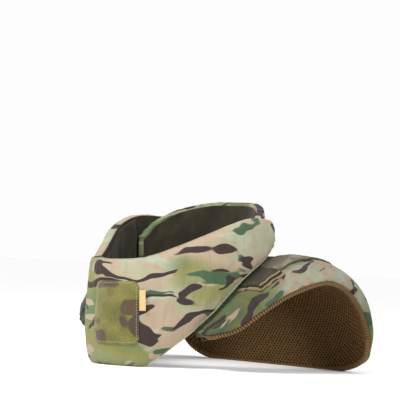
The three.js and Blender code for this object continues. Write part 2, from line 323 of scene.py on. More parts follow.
# %% Guard surface
BULGE_END, BULGE_FADE, BULGE_LOW = 0.62, 0.5, 0.7


def guard_point(distance, share, lift):
    top, bottom = guard_edges(distance)
    frontness = smoothstep(GUARD_HALF * BULGE_END - abs(distance), 0, GUARD_HALF * BULGE_FADE)
    swell = GUARD_BULGE * frontness * math.sin(math.pi * max(share, 0) ** BULGE_LOW)
    ridge = RIDGE_HEIGHT * math.exp(-((distance / RIDGE_WIDTH) ** 2))
    plan = guard_plan(distance, lift + swell + ridge)
    return Vector((plan.x, plan.y, bottom + (top - bottom) * share))


def guard_at_height(distance, height, lift):
    top, bottom = guard_edges(distance)
    return guard_point(distance, (height - bottom) / (top - bottom), lift)


print("front of the bib in mm:", [round(c, 1) for c in guard_point(0, 0.5, 0)])

# %% [markdown]
# ## Leaning to rest
# Off the shoulders the protector rests on the flat foot of its bib and on the straight
# back hem, so the whole leans a few degrees forward. One matrix does this for all pieces.

# %% Rest pose
BIB_HEIGHT = NAPE_HEIGHT * GUARD_ROWS[0][2]
REST_PITCH = math.atan2(BIB_HEIGHT, THROAT_FORWARD + THROAT_RADIUS + BACK_REACH)
REST_LEVEL = BACK_REACH * math.sin(REST_PITCH) + FLOOR_TRIM
LEAN = Matrix.Rotation(REST_PITCH, 4, "X")


def upright_to_rest(point):
    leaned = LEAN @ point
    return Vector((leaned.x, leaned.y, leaned.z - REST_LEVEL)) * MM


solid_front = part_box("throat_guard")[0].y
front_rows = [upright_to_rest(guard_point(0, row / 9, 0)).y for row in range(1, 9)]
PLACE_SHIFT = Vector((0, solid_front - min(front_rows), 0))
print("shift to the frame's origin in mm:", round(PLACE_SHIFT.y / MM, 3))


def rest(point):
    placed = upright_to_rest(point) + PLACE_SHIFT
    return Vector((placed.x, placed.y, max(placed.z, 0)))


# %% [markdown]
# ## Finishing a piece
# Every cloth piece is built as an editable mesh and then handed over in the same way: it
# gets a name, its materials and smooth shading, and it rides on the one body. Normals
# that point outward are what shading, bump and the export need.

# %% Finishing a piece


def finish_piece(name, mesh_data, materials):
    mesh = bpy.data.meshes.new(name)
    mesh_data.to_mesh(mesh)
    mesh_data.free()
    piece = bpy.data.objects.new(name, mesh)
    bpy.context.scene.collection.objects.link(piece)
    for material in materials:
        mesh.materials.append(material)
    mesh.polygons.foreach_set("use_smooth", [True] * len(mesh.polygons))
    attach(piece, "root")
    return piece


def face_outward(bm):
    bmesh.ops.recalc_face_normals(bm, faces=bm.faces)
    if bm.calc_volume(signed=True) < 0:
        bmesh.ops.reverse_faces(bm, faces=bm.faces)


def map_cloth(bm, cloth_place):
    """Give each corner its place on the cloth, in metres."""
    layer = bm.loops.layers.uv.new("cloth")
    for face in bm.faces:
        for loop in face.loops:
            loop[layer].uv = cloth_place(loop.vert)


print("pieces ride on the body: root")

# %% [markdown]
# ## One helper for every cloth shell
# A padded panel is a flat grid, extruded once to get its second face, and then laid onto
# two surfaces. The flat grid also gives the cloth its own map in metres, so a weave keeps
# its real pitch and a print runs round the neck as it does on cut cloth.

# %% Shell helper


def shell(outside, inside, cloth_map, columns, rows, inner_slot=0, place=rest):
    """A closed bmesh between two surfaces of (u, v), with a cloth map in metres."""
    bm = bmesh.new()
    bmesh.ops.create_grid(bm, x_segments=columns, y_segments=rows, size=0.5)
    bmesh.ops.recalc_face_normals(bm, faces=bm.faces)
    grown = bmesh.ops.extrude_face_region(bm, geom=list(bm.faces), use_keep_orig=True)
    second = {item for item in grown["geom"] if isinstance(item, bmesh.types.BMVert)}
    flat = {vert: (vert.co.x + 0.5, vert.co.y + 0.5) for vert in bm.verts}
    map_cloth(bm, lambda vert: cloth_map(*flat[vert]))
    for face in bm.faces:
        inner = sum(vert in second for vert in face.verts)
        face.material_index = inner_slot if inner == len(face.verts) else 0
    for vert in bm.verts:
        u, v = flat[vert]
        vert.co = place(inside(u, v) if vert in second else outside(u, v))
    face_outward(bm)
    return bm


trial = shell(lambda u, v: Vector((u, v, 1)), lambda u, v: Vector((u, v, 0)),
              lambda u, v: (u, v), 2, 2, place=lambda point: point)
print("faces in a shell of 2 x 2:", len(trial.faces), "with volume", round(trial.calc_volume(), 3))
trial.free()

# %% [markdown]
# ## Soft edges and ripples
# Padding is thin at a seam and full a finger's width in from it, and its cloth is never
# quite smooth. Three small functions give the rows, the fall at an edge and the ripple.

# %% Soft edges and ripples
EDGE_PULL = 0.75


def eased(v):
    """Rows drawn towards both edges, where a padded panel curves most."""
    return v * (1 - EDGE_PULL) + EDGE_PULL * (0.5 - 0.5 * math.cos(math.pi * v))


def rounded_edge(distance, radius):
    """How far a panel has sunk at a distance from its edge, from 1 at the edge to 0."""
    if distance >= radius:
        return 0
    return 1 - math.sqrt(max(1 - (1 - distance / radius) ** 2, 0))


def ripple(point, size, seed):
    """Soft random swell between -1 and 1, the same on each run."""
    return noise.noise(Vector(point) / size + Vector((seed, 2 * seed, 3 * seed)))


print("share sunk 2 mm in from a 10 mm edge:", round(rounded_edge(2, 10), 2))

# %% [markdown]
# ## Node helper
# A procedural material is a small graph. This class keeps each line of a graph short: it
# makes a node, sets its named values and returns the socket that the next line needs.

# %% Material helper
BANDS_PER_METRE = 3.1831  # of a wave texture at scale 1


def srgb(red, green, blue):
    """A colour read as 0 to 255 on screen, in the linear values that nodes use."""
    shares = [channel / 255 for channel in (red, green, blue)]
    return (*(c / 12.92 if c <= 0.04 else ((c + 0.055) / 1.055) ** 2.4 for c in shares), 1)


class Finish:
    def __init__(self, name, roughness, sheen=0.0):
        self.material = bpy.data.materials.new(name)
        self.material.use_nodes = True
        self.tree = self.material.node_tree
        self.surface = self.tree.nodes["Principled BSDF"]
        self.surface.inputs["Roughness"].default_value = roughness
        self.surface.inputs["Specular IOR Level"].default_value = 0.25
        self.surface.inputs["Sheen Weight"].default_value = sheen
        self.surface.inputs["Sheen Roughness"].default_value = 0.5
        cloth = self.node("ShaderNodeUVMap")
        cloth.uv_map = "cloth"
        self.cloth = cloth.outputs["UV"]

    def node(self, kind, **values):
        node = self.tree.nodes.new(kind)
        for name, value in values.items():
            self.feed(node.inputs[name.replace("_", " ")], value)
        return node

    def feed(self, socket, value):
        if isinstance(value, bpy.types.NodeSocket):
            self.tree.links.new(value, socket)
        else:
            socket.default_value = value

    def place(self, vector, scale=(1, 1, 1), shift=(0, 0, 0), turn=0.0):
        mapping = self.node("ShaderNodeMapping", Vector=vector, Scale=scale, Location=shift)
        mapping.inputs["Rotation"].default_value = (0, 0, turn)
        return mapping.outputs["Vector"]

    def noise(self, vector, scale, detail=2.0, roughness=0.5, distortion=0.0):
        made = self.node("ShaderNodeTexNoise", Vector=vector, Scale=scale, Detail=detail,
                         Roughness=roughness, Distortion=distortion)
        return made.outputs["Fac"]

    def waves(self, vector, pitch, direction="X"):
        made = self.node("ShaderNodeTexWave", Vector=vector, Scale=1 / pitch / BANDS_PER_METRE)
        made.bands_direction = direction
        return made.outputs["Fac"]

    def ramp(self, factor, *stops):
        """Stops are (position, colour), where a bare number is a grey."""
        made = self.node("ShaderNodeValToRGB", Fac=factor)
        points = made.color_ramp.elements
        while len(points) < len(stops):
            points.new(1)
        for point, (position, colour) in zip(points, stops):
            point.position = position
            point.color = (colour,) * 3 + (1,) if isinstance(colour, (int, float)) else colour
        return made.outputs["Color"]

    def step(self, factor, threshold, softness=0.01):
        low, high = max(threshold - softness, 0), min(threshold + softness, 1)
        return self.ramp(factor, (low, 0.0), (high, 1.0))

    def mix(self, factor, first, second, blend="MIX"):
        made = self.tree.nodes.new("ShaderNodeMix")
        made.data_type = "RGBA"
        made.blend_type = blend
        self.feed(made.inputs[0], factor)
        self.feed(made.inputs[6], first)
        self.feed(made.inputs[7], second)
        return made.outputs[2]

    def maths(self, operation, first, second=0.0):
        made = self.tree.nodes.new("ShaderNodeMath")
        made.operation = operation
        self.feed(made.inputs[0], first)
        self.feed(made.inputs[1], second)
        return made.outputs[0]

    def bump(self, height, strength, distance=0.001, onto=None):
        made = self.node("ShaderNodeBump", Height=height, Strength=strength, Distance=distance)
        if onto is not None:
            self.feed(made.inputs["Normal"], onto)
        return made.outputs["Normal"]

    def done(self, colour, normal=None):
        self.feed(self.surface.inputs["Base Color"], colour)
        if normal is not None:
            self.feed(self.surface.inputs["Normal"], normal)
        return self.material


print("mid grey on screen is", round(srgb(128, 128, 128)[0], 3), "in nodes")

# %% [markdown]
# ## Colours of the print
# A woodland print is made with few inks. Naming them once keeps the pieces alike, as if
# they were cut from one roll.

# %% Inks
PALE_TAN = srgb(197, 195, 163)
PINK_TAN = srgb(207, 184, 156)
MINT_GREY = srgb(200, 204, 176)
SAGE = srgb(160, 165, 115)
YELLOW_OLIVE = srgb(160, 157, 88)
MID_GREEN = srgb(118, 143, 98)
DARK_GREEN = srgb(84, 112, 82)
DARK_BROWN = srgb(70, 56, 52)
print("inks in the print:", 8)

# %% [markdown]
# ## Layers of the print
# Soft fields of tan, sage and olive lie under pale and green blots with firm edges, and
# narrow dark brown twigs lie on top. Each layer is one noise, stretched along the cloth
# and cut at a threshold, so the print never repeats. A bent map rounds every blot.

# %% Layers of the print
BLOT_WOBBLE = 0.014
TWIG_SOFTNESS = 0.0015


def bent_map(finish, seed):
    cloth = finish.place(finish.cloth, shift=(seed, seed * 0.7, 0))
    drift = finish.node("ShaderNodeTexNoise", Vector=cloth, Scale=30.0, Detail=1.0)
    wobble = finish.node("ShaderNodeVectorMath", Vector=drift.outputs["Color"])
    wobble.operation = "SCALE"
    wobble.inputs["Scale"].default_value = BLOT_WOBBLE
    bent = finish.node("ShaderNodeVectorMath", Vector=cloth)
    bent.operation = "ADD"
    finish.feed(bent.inputs[1], wobble.outputs["Vector"])
    return bent.outputs["Vector"]


def print_layers(finish, seed, green, tips, pink_from):
    """Colour of the print; tips is the cloth's length where its ends are greener."""
    bent = bent_map(finish, seed)

    def field(scale, stretch, shift, detail=1.0):
        placed = finish.place(bent, (1, stretch, 1), (shift, shift * 1.3, 0))
        return finish.noise(placed, scale, detail, 0.45)

    def ribbon(scale, stretch, shift, width):
        """Long winding strokes that follow a middle value of one noise."""
        above = finish.maths("SUBTRACT", field(scale, stretch, shift, 0.5), 0.5)
        off_middle = finish.maths("ABSOLUTE", above)
        return finish.ramp(off_middle, (width - TWIG_SOFTNESS, 1.0), (width + TWIG_SOFTNESS, 0.0))

    ground = finish.mix(finish.step(field(12, 2.8, 3.1), pink_from, 0.012), PALE_TAN, PINK_TAN)
    ground = finish.mix(finish.step(field(16, 3.2, 7.7), 0.57, 0.01), ground, MINT_GREY)
    leafy = finish.ramp(field(6.5, 1.6, 11.3), (0.48 - green, 0.0), (0.58 - green, 1.0))
    leaves = finish.ramp(field(9, 1.6, 15.9), (0.4, SAGE), (0.5, YELLOW_OLIVE), (0.62, MID_GREEN))
    colour = finish.mix(leafy, ground, leaves)
    if tips:
        along = finish.node("ShaderNodeSeparateXYZ", Vector=finish.cloth).outputs["X"]
        share = finish.maths("DIVIDE", along, tips)
        ends = (0, 1.0), (0.09, 1.0), (0.15, 0.0), (0.85, 0.0), (0.91, 1.0)
        near_tips = finish.ramp(share, *ends)
        greens = (0.4, MID_GREEN), (0.55, srgb(128, 130, 74)), (0.68, DARK_GREEN)
        darker = finish.ramp(field(12, 1.6, 51.2), *greens)
        colour = finish.mix(near_tips, colour, darker)
    colour = finish.mix(finish.step(field(20, 3.0, 19.4), 0.61, 0.01), colour, PINK_TAN)
    colour = finish.mix(finish.step(field(17, 2.8, 23.8, 1.5), 0.62, 0.01), colour, DARK_GREEN)
    patchy = finish.step(field(11, 2.0, 35.7, 0.5), 0.53, 0.004)
    strokes = finish.maths("MULTIPLY", ribbon(9.5, 3.4, 28.2, 0.034), patchy)
    blots = finish.step(field(16, 3.0, 41.6, 1.0), 0.64, 0.006)
    return finish.mix(finish.maths("MAXIMUM", strokes, blots), colour, DARK_BROWN)


print("a bent map moves a blot's edge by up to, in mm:", BLOT_WOBBLE / MM)

# %% [markdown]
# ## Weave and creases
# Close up the cloth is a plain weave with thicker threads here and there. Crossed waves
# give the weave, stretched noise gives the slubs, and a slow noise the slack creases. The
# slubs tint the colour, and the weave's grooves and the creases are darkened in it as
# painted shade, since fine relief alone hardly shows from far away.

# %% Weave and creases
WEAVE_PITCH = 0.0011


def woven(finish, colour):
    warp = finish.waves(finish.cloth, WEAVE_PITCH, "X")
    weft = finish.waves(finish.cloth, WEAVE_PITCH, "Y")
    weave = finish.maths("MULTIPLY", warp, weft)
    # Painted shade in the grooves between the threads.
    colour = finish.mix(0.16, colour, finish.ramp(weave, (0, 0.45), (1, 1.0)), "MULTIPLY")
    down = finish.noise(finish.place(finish.cloth, (1, 0.06, 1)), 420, 1)
    over = finish.noise(finish.place(finish.cloth, (0.06, 1, 1)), 420, 1)
    slub = finish.maths("ADD", down, over)
    colour = finish.mix(0.5, colour, finish.ramp(slub, (0.3, 0.62), (0.85, 1.0)), "MULTIPLY")
    normal = finish.bump(weave, 0.35, 0.0003)
    normal = finish.bump(slub, 0.25, 0.0004, normal)
    return colour, finish.bump(finish.noise(finish.cloth, 60, 2), 0.35, 0.0015, normal)


def printed_cloth(name, seed, shade, green=0.0, creases=0.0, tips=0.0, pink_from=0.5):
    finish = Finish(name, 0.86, sheen=0.05)
    colour = print_layers(finish, seed, green, tips, pink_from)
    colour = finish.mix(1.0, colour, (shade, shade, shade, 1), "MULTIPLY")
    colour, normal = woven(finish, colour)
    if creases:
        slack = finish.noise(finish.place(finish.cloth, (1, 0.25, 1)), 75, 2, 0.5, 0.6)
        folds = finish.ramp(slack, (0.38, 0.0), (0.62, 1.0))
        # Painted shade in the creases.
        shadow = finish.ramp(folds, (0, 0.62), (0.4, 1.0))
        colour = finish.mix(0.35 * creases, colour, shadow, "MULTIPLY")
        normal = finish.bump(folds, creases, 0.0035, normal)
    return finish.done(colour, normal)


GUARD_CLOTH = printed_cloth("printed_cloth_guard", 0.0, shade=0.53, creases=0.3)
YOKE_CLOTH = printed_cloth("printed_cloth_yoke", 1.9, shade=0.37, green=-0.02, creases=0.6,
                           tips=0.936, pink_from=0.56)
COLLAR_CLOTH = printed_cloth("printed_cloth_collar", 4.3, shade=0.52, creases=0.7)
BASE_CLOTH = printed_cloth("printed_cloth_base", 6.1, shade=0.4)
print("nodes in the guard's cloth:", len(GUARD_CLOTH.node_tree.nodes))

# %% [markdown]
# ## Lining and loop pile
# The lining is a thin dark brown cloth, painted nearly black so that it also carries the
# shade of the hollow round the neck. The panel on the bib is loop pile, a fuzz of tiny
# loops that holds a patch: fine noise makes it mottled and soft, and two slow noises
# print its brown blots.

# %% Lining and loop pile


def dark_lining():
    finish = Finish("dark_lining", 0.9, sheen=0.1)
    tone = finish.noise(finish.place(finish.cloth, (1, 0.6, 1)), 30, 3)
    # Nearly black: a dark lining with painted shade of the hollow round the neck.
    colour = finish.ramp(tone, (0.3, srgb(26, 23, 13)), (0.7, srgb(50, 45, 27)))
    warp, weft = (finish.waves(finish.cloth, 0.0012, direction) for direction in "XY")
    normal = finish.bump(finish.maths("MULTIPLY", warp, weft), 0.3, 0.0003)
    return finish.done(colour, finish.bump(tone, 0.3, 0.002, normal))


def loop_pile():
    finish = Finish("loop_pile", 0.95, sheen=0.35)
    olive = (0.35, srgb(96, 92, 38)), (0.65, srgb(120, 116, 56))
    colour = finish.ramp(finish.noise(finish.cloth, 40, 2), *olive)
    for scale, shift, threshold, ink in (((1, 0.9, 1), (0.031, 0.02, 0), 0.56, srgb(80, 64, 42)),
                                         ((1.6, 0.8, 1), (4.2, 0.5, 0), 0.63, srgb(74, 58, 48))):
        blot = finish.noise(finish.place(finish.cloth, scale, shift), 26, 1)
        colour = finish.mix(finish.step(blot, threshold, 0.012), colour, ink)
    fuzz = finish.noise(finish.cloth, 480, 4, 0.75)
    colour = finish.mix(0.7, colour, finish.ramp(fuzz, (0.32, 0.4), (0.68, 1.0)), "MULTIPLY")
    return finish.done(colour, finish.bump(fuzz, 0.9, 0.0012))


LINING, PILE = dark_lining(), loop_pile()
print("nodes in the pile:", len(PILE.node_tree.nodes))

# %% [markdown]
# ## Webbing
# Webbing is woven thick, with ribs that run across it. A wave turned half a radian gives
# the ribs, and they are painted into the colour as well as the relief: shade in the troughs
# and a little highlight on the crests.

# %% Webbing
RIB_PITCH = 0.0029


def ribbed_webbing(name, low, high, blot):
    finish = Finish(name, 0.8, sheen=0.05)
    ribs = finish.waves(finish.place(finish.cloth, turn=0.5), RIB_PITCH, "X")
    field = finish.noise(finish.place(finish.cloth, (1, 1.5, 1)), 24, 1)
    colour = finish.mix(finish.step(field, 0.54, 0.02), low, high)
    colour = finish.mix(finish.step(finish.noise(finish.cloth, 31, 1), 0.62, 0.02), colour, blot)
    # Painted shade in the rib troughs and painted highlight on the crests.
    colour = finish.mix(0.85, colour, finish.ramp(ribs, (0, 0.35), (1, 1.15)), "MULTIPLY")
    normal = finish.bump(ribs, 0.8, 0.0008)
    grain = finish.noise(finish.cloth, 1200, 1)
    return finish.done(colour, finish.bump(grain, 0.2, 0.0002, normal))


WEBBING = ribbed_webbing("ribbed_webbing", srgb(100, 93, 76), srgb(124, 120, 96), srgb(94, 82, 70))
STRAPPING = ribbed_webbing("strap_webbing", srgb(46, 41, 23), srgb(59, 50, 34), srgb(43, 47, 24))
print("ribs on the webbing, mm apart:", RIB_PITCH / MM)

# %% [markdown]
# ## Threads
# The spacer mesh, the stitches and the bindings are bare thread. One recipe serves them
# all: fine noise between three tones, which reads as twisted strands. The mesh's knitted
# edge has a wave of its own for the rows of stitches.

# %% Threads


def thread(name, low, middle, high):
    finish = Finish(name, 0.75, sheen=0.1)
    strand = finish.noise(finish.cloth, 700, 2)
    colour = finish.ramp(strand, (0.3, srgb(*low)), (0.5, srgb(*middle)), (0.7, srgb(*high)))
    return finish.done(colour, finish.bump(strand, 0.6, 0.0006))


def edge_knit():
    finish = Finish("spacer_edge_knit", 0.75, sheen=0.1)
    stitch = finish.waves(finish.cloth, 0.0038, "Y")
    strand = finish.noise(finish.cloth, 700, 2)
    # Painted shade in the grooves between the stitches.
    browns = (0.1, srgb(38, 24, 9)), (0.45, srgb(96, 66, 29)), (0.9, srgb(122, 87, 41))
    return finish.done(finish.ramp(stitch, *browns), finish.bump(strand, 0.5, 0.0006))


THREAD = thread("spacer_thread", (62, 40, 9), (90, 61, 18), (128, 91, 36))
EDGE_KNIT = edge_knit()
SEW_THREAD = thread("sewing_thread", (120, 112, 78), (150, 142, 104), (172, 164, 126))
BINDING = thread("edge_binding", (120, 118, 84), (156, 154, 116), (180, 178, 142))
DARK_CORD = thread("dark_edge", (44, 38, 24), (62, 54, 34), (80, 70, 44))
BROWN_CORD = thread("brown_edge", (96, 68, 42), (126, 92, 60), (150, 112, 76))
TAN_END = thread("tan_strap_end", (108, 94, 58), (132, 116, 76), (156, 140, 96))
print("nodes in a thread:", len(THREAD.node_tree.nodes))

# %% [markdown]
# ## Holes and label
# The holes of the mesh are painted near black, as the shade deep inside the knit, and the
# small tab is a smooth pale tape. It is left blank, so that it serves any maker.

# %% Holes and label


def spacer_hole_shade():
    finish = Finish("spacer_hole_shade", 0.95)
    strand = finish.noise(finish.cloth, 500, 2)
    # Painted shade at the bottom of each hole, near black.
    return finish.done(finish.ramp(strand, (0.3, srgb(10, 6, 2)), (0.7, srgb(22, 14, 5))))


def label_cloth():
    finish = Finish("label_cloth", 0.7)
    weave = finish.waves(finish.cloth, 0.0009, "Y")
    shadow = finish.ramp(weave, (0, 0.7), (1, 1.0))
    colour = finish.mix(0.3, srgb(184, 158, 112), shadow, "MULTIPLY")
    return finish.done(colour, finish.bump(weave, 0.3, 0.0002))


HOLE_SHADE, LABEL = spacer_hole_shade(), label_cloth()
print("materials made so far:", len(bpy.data.materials))

# %% [markdown]
# ## A short cloth simulation
# Real padding pulls its cloth tight in the middle and puckers it at the seams. Cloth that
# shrinks or grows a little under pressure does the same. There is no gravity, and a few
# frames are enough, because the panel starts close to its real form.

# %% Cloth simulation
SPARE_CLOTH = 0.03
STIFFNESS = 0.5
PRESSURE = 4.0


def run_cloth(piece, pressure, frames):
    """Simulate with no gravity and give back where each point ends."""
    cloth = piece.modifiers.new("cloth", "CLOTH")
    cloth.settings.effector_weights.gravity = 0
    cloth.settings.use_pressure = True
    cloth.settings.uniform_pressure_force = pressure
    cloth.settings.shrink_min = -SPARE_CLOTH
    cloth.settings.bending_stiffness = STIFFNESS
    cloth.settings.vertex_group_mass = "held"
    cloth.collision_settings.use_collision = False
    cloth.point_cache.frame_start = 1
    cloth.point_cache.frame_end = frames
    for frame_number in range(1, frames + 1):
        bpy.context.scene.frame_set(frame_number)
    settled = piece.evaluated_get(bpy.context.evaluated_depsgraph_get())
    places = [vert.co.copy() for vert in settled.to_mesh().vertices]
    settled.to_mesh_clear()
    piece.modifiers.remove(cloth)
    bpy.context.scene.frame_set(1)
    return places


print("the cloth may be longer than its panel by", round(100 * SPARE_CLOTH), "percent")

# %% [markdown]
# ## Puffing a panel
# Each point may move only a millimetre or two, so the panel keeps its measured form and
# its neighbours stay clear. The inner face is held, because it lies against a lining.

# %% Puffing a panel


def puff(piece, pressure, limit, frames, freedom):
    """Swell the outer face of a panel; its inner face (material 1) stays where it is."""
    mesh = piece.data
    inner = {index for face in mesh.polygons if face.material_index == 1
             for index in face.vertices}
    piece.vertex_groups.new(name="held").add(sorted(inner), 1.0, "REPLACE")
    wanted = 0
    for index, new in enumerate(run_cloth(piece, pressure, frames)):
        vert = mesh.vertices[index]
        step = (new - vert.co) * (0 if index in inner else freedom(vert.co))
        wanted = max(wanted, step.length)
        if step.length > limit:
            step *= limit / step.length
        vert.co = Vector((vert.co.x + step.x, vert.co.y + step.y, max(vert.co.z + step.z, 0)))
    piece.vertex_groups.clear()
    print(piece.name, "wanted to move", round(wanted / MM, 2), "mm, held to", round(limit / MM, 2))


print("simulation is", "on")

# %% [markdown]
# ## Throat guard
# The guard is one padded panel that covers the throat. Its face sinks round the seams and
# carries the print, and its inner side is lined. It is a shell between two surfaces, so
# that both sides keep the thickness that the padding has.

# %% Throat guard
EDGE_RADIUS = 11
END_STEEPNESS = 1.2
SOFT_SWELL = 0.8
GUARD_PUFF = 1.6


def guard_pad_sink(distance, share):
    top, bottom = guard_edges(distance)
    gap = min(share, 1 - share) * (top - bottom)
    gap = min(gap, (GUARD_HALF - abs(distance)) * END_STEEPNESS)
    return (GUARD_THICKNESS - GUARD_EDGE_THICKNESS) * rounded_edge(gap, EDGE_RADIUS)


def guard_outside(u, v):
    distance, share = GUARD_HALF * (2 * u - 1), eased(v)
    soft = SOFT_SWELL * ripple((distance, 0, share * 150), 38, 1)
    return guard_point(distance, share, soft - guard_pad_sink(distance, share))


def guard_inside(u, v):
    return guard_point(GUARD_HALF * (2 * u - 1), eased(v), -GUARD_THICKNESS)


def guard_map(u, v):
    distance = GUARD_HALF * (2 * u - 1)
    top, bottom = guard_edges(distance)
    return distance * MM, (bottom + (top - bottom) * eased(v)) * MM


guard_mesh = shell(guard_outside, guard_inside, guard_map, 150, 30, inner_slot=1)
guard_pad = finish_piece("guard_pad", guard_mesh, [GUARD_CLOTH, LINING])
puff(guard_pad, PRESSURE, GUARD_PUFF * MM, 12, lambda place: 1.0)
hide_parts("throat_guard")
print("guard faces:", len(guard_pad.data.polygons))

# %% [markdown]
# ## Guard lining
# Inside the guard lies a loose dark cloth, caught at its edges. It stops before the collar
# begins. Slow ripples make the slack folds that show inside the rim.

# %% Guard lining
LINING_THICKNESS = 1.2
LINING_END = COLLAR_END_TURN - math.radians(3)
LINING_REACH = THROAT_ARC + CHEEK_LENGTH + (LINING_END - THROAT_TURN) * SIDE_RADIUS
LINING_SLACK = 5
LINING_MARGIN, LINING_HEIGHT = 0.05, 150


def lining_layer(depth):
    def at(u, v):
        distance, share = LINING_REACH * (2 * u - 1), LINING_MARGIN + 0.9 * v
        fold = max(ripple((distance, 0, share * 40), 16, 5), 0) * LINING_SLACK
        fold *= math.sin(math.pi * v)
        return guard_point(distance, share, -GUARD_THICKNESS - depth - fold)
    return at


def lining_map(u, v):
    return LINING_REACH * 2 * u * MM, LINING_HEIGHT * v * MM


lining_mesh = shell(lining_layer(1), lining_layer(1 + LINING_THICKNESS), lining_map, 120, 24)
guard_lining = finish_piece("guard_lining_cloth", lining_mesh, [LINING])
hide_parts("guard_lining")
print("lining reaches to either side, mm:", round(LINING_REACH))

# %% [markdown]
# ## An empty cell
# This cell holds no code.

# %% An empty cell


# %% [markdown]
# ## The collar's surfaces
# The collar stands on the yoke behind the neck, and its foot follows the yoke. Its rim is
# gathered by the binding, so it puckers there. One function gives the outer face, the
# inner face and both faces of the lining.

# %% Collar surfaces
COLLAR_SINK, COLLAR_HEIGHT = 2.5, 90
RIM_SHARPNESS, RIM_LIFT = 8, 0.6


def collar_band(radius, sink, rim_drop, pucker, wave):
    def at(u, v):
        turn = COLLAR_END_TURN + (2 * math.pi - 2 * COLLAR_END_TURN) * u
        share = eased(v)
        row = row_at(COLLAR_ROWS, 1 - abs(2 * u - 1))
        top = NAPE_HEIGHT * table_at(COLLAR_ROWS, 1, row, True) - rim_drop
        plan = around(turn, NECK_RADIUS)
        foot = yoke_top(plan.x, plan.y) + 2 * SEAT_GAP
        gap = min(min(share, 1 - share) * (top - foot), min(u, 1 - u) * math.pi * NECK_RADIUS)
        rim = share ** RIM_SHARPNESS
        gather = pucker * rim * ripple((turn * NECK_RADIUS, 0, 0), 6, 9)
        width = radius + sink * rounded_edge(gap, EDGE_RADIUS) + gather
        slack = wave * max(ripple((turn * NECK_RADIUS, 0, share * 40), 15, 12), 0)
        width += slack * math.sin(math.pi * v)
        plan = around(turn, width)
        return Vector((plan.x, plan.y, foot + (top - foot) * share + gather * RIM_LIFT))
    return at


def collar_map(u, v):
    return (u - 0.5) * math.pi * COLLAR_RADIUS * MM, COLLAR_HEIGHT * v * MM


print("collar's rim at the nape, mm:", round(collar_band(COLLAR_RADIUS, 0, 0, 0, 0)(0.5, 1).z, 1))

# %% [markdown]
# ## Back collar
# The pad is a second padded band inside the guard's tails. It is stiff enough to stand by
# itself, so it gets its soft edges from the surfaces and needs no simulation.

# %% Back collar
collar_mesh = shell(collar_band(COLLAR_RADIUS, -COLLAR_SINK, 0, 1.8, 0),
                    collar_band(NECK_RADIUS, COLLAR_SINK, 0, 1.4, 0), collar_map, 130, 20)
back_collar = finish_piece("back_collar_pad", collar_mesh, [COLLAR_CLOTH])
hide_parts("back_collar")
print("back collar faces:", len(back_collar.data.polygons))

# %% [markdown]
# ## Collar lining
# The same dark cloth lies inside the collar, a little below its rim. It could share the
# pad's mesh, but a sheet of its own lets it hang slack and wave inward.

# %% Collar lining
RIM_DROP, LINING_WAVE = 4, -3
inner = NECK_RADIUS - SEAT_GAP
collar_lining_mesh = shell(
    collar_band(inner, 0, RIM_DROP, 0, LINING_WAVE),
    collar_band(inner - LINING_THICKNESS, 0, RIM_DROP, 0, LINING_WAVE), collar_map, 110, 16)
collar_lining = finish_piece("collar_lining_cloth", collar_lining_mesh, [LINING])
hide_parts("collar_lining")

# %% [markdown]
# ## A lattice over the yoke
# Many pieces ask for points of the yoke, and each point is slow to work out. So places
# and normals are worked out once on a fine lattice, and read between its points.

# %% Lattice over the yoke
YOKE_STEPS, YOKE_RINGS = 280, 40


def lattice_of(value):
    """A value at every crossing, from the row of the table and the share out to the hem."""
    return [[value(2 * LAST_ROW * i / YOKE_STEPS, j / YOKE_RINGS) for j in range(YOKE_RINGS + 1)]
            for i in range(YOKE_STEPS + 1)]


YOKE_PLACES = lattice_of(yoke_point)
YOKE_NORMALS = lattice_of(lambda row, share: yoke_layer(row, share, 1) - yoke_point(row, share))


def between(lattice, u, v):
    """Read a lattice of vectors between its points."""
    across, out = min(max(u, 0), 1) * YOKE_STEPS, min(max(v, 0), 1) * YOKE_RINGS
    i, j = min(int(across), YOKE_STEPS - 1), min(int(out), YOKE_RINGS - 1)
    s, t = across - i, out - j
    near = lattice[i][j] * (1 - t) + lattice[i][j + 1] * t
    far = lattice[i + 1][j] * (1 - t) + lattice[i + 1][j + 1] * t
    return near * (1 - s) + far * s


def yoke_at(u, v, lift):
    return between(YOKE_PLACES, u, v) + between(YOKE_NORMALS, u, v) * lift


print("lattice points:", len(YOKE_PLACES) * len(YOKE_PLACES[0]))

# %% [markdown]
# ## A map of the yoke's cloth
# The yoke is much longer round its hem than round its root. Lengths measured along a line
# well out towards the hem give a map in which the print keeps its scale where it shows.

# %% Map of the yoke's cloth
MAP_LINE = 0.7


def running(points):
    """Distance run along a row of points, from 0 at the first."""
    lengths = [0.0]
    for before, after in zip(points, points[1:]):
        lengths.append(lengths[-1] + (after - before).length)
    return lengths


YOKE_LENGTHS = running([between(YOKE_PLACES, step / YOKE_STEPS, MAP_LINE)
                        for step in range(YOKE_STEPS + 1)])


def yoke_map(u, v):
    """Along the yoke and out from the root, in metres."""
    place = u * YOKE_STEPS
    index = min(int(place), YOKE_STEPS - 1)
    stretch = YOKE_LENGTHS[index + 1] - YOKE_LENGTHS[index]
    along = YOKE_LENGTHS[index] + stretch * (place - index)
    outward = (between(YOKE_PLACES, u, v) - between(YOKE_PLACES, u, 0)).length
    return along * MM, outward * MM


print("yoke's length in mm:", round(YOKE_LENGTHS[-1]))

# %% [markdown]
# ## Creases of the yoke
# The hem binding draws the cloth in, so short creases run in from the hem. Slack across
# the shoulders makes longer, softer folds. Both are real relief, because they catch light
# that a bump would miss. The padding grows thin towards the hem.

# %% Creases of the yoke
PINCH_HEIGHT, FOLD_HEIGHT = 2.4, 1.8


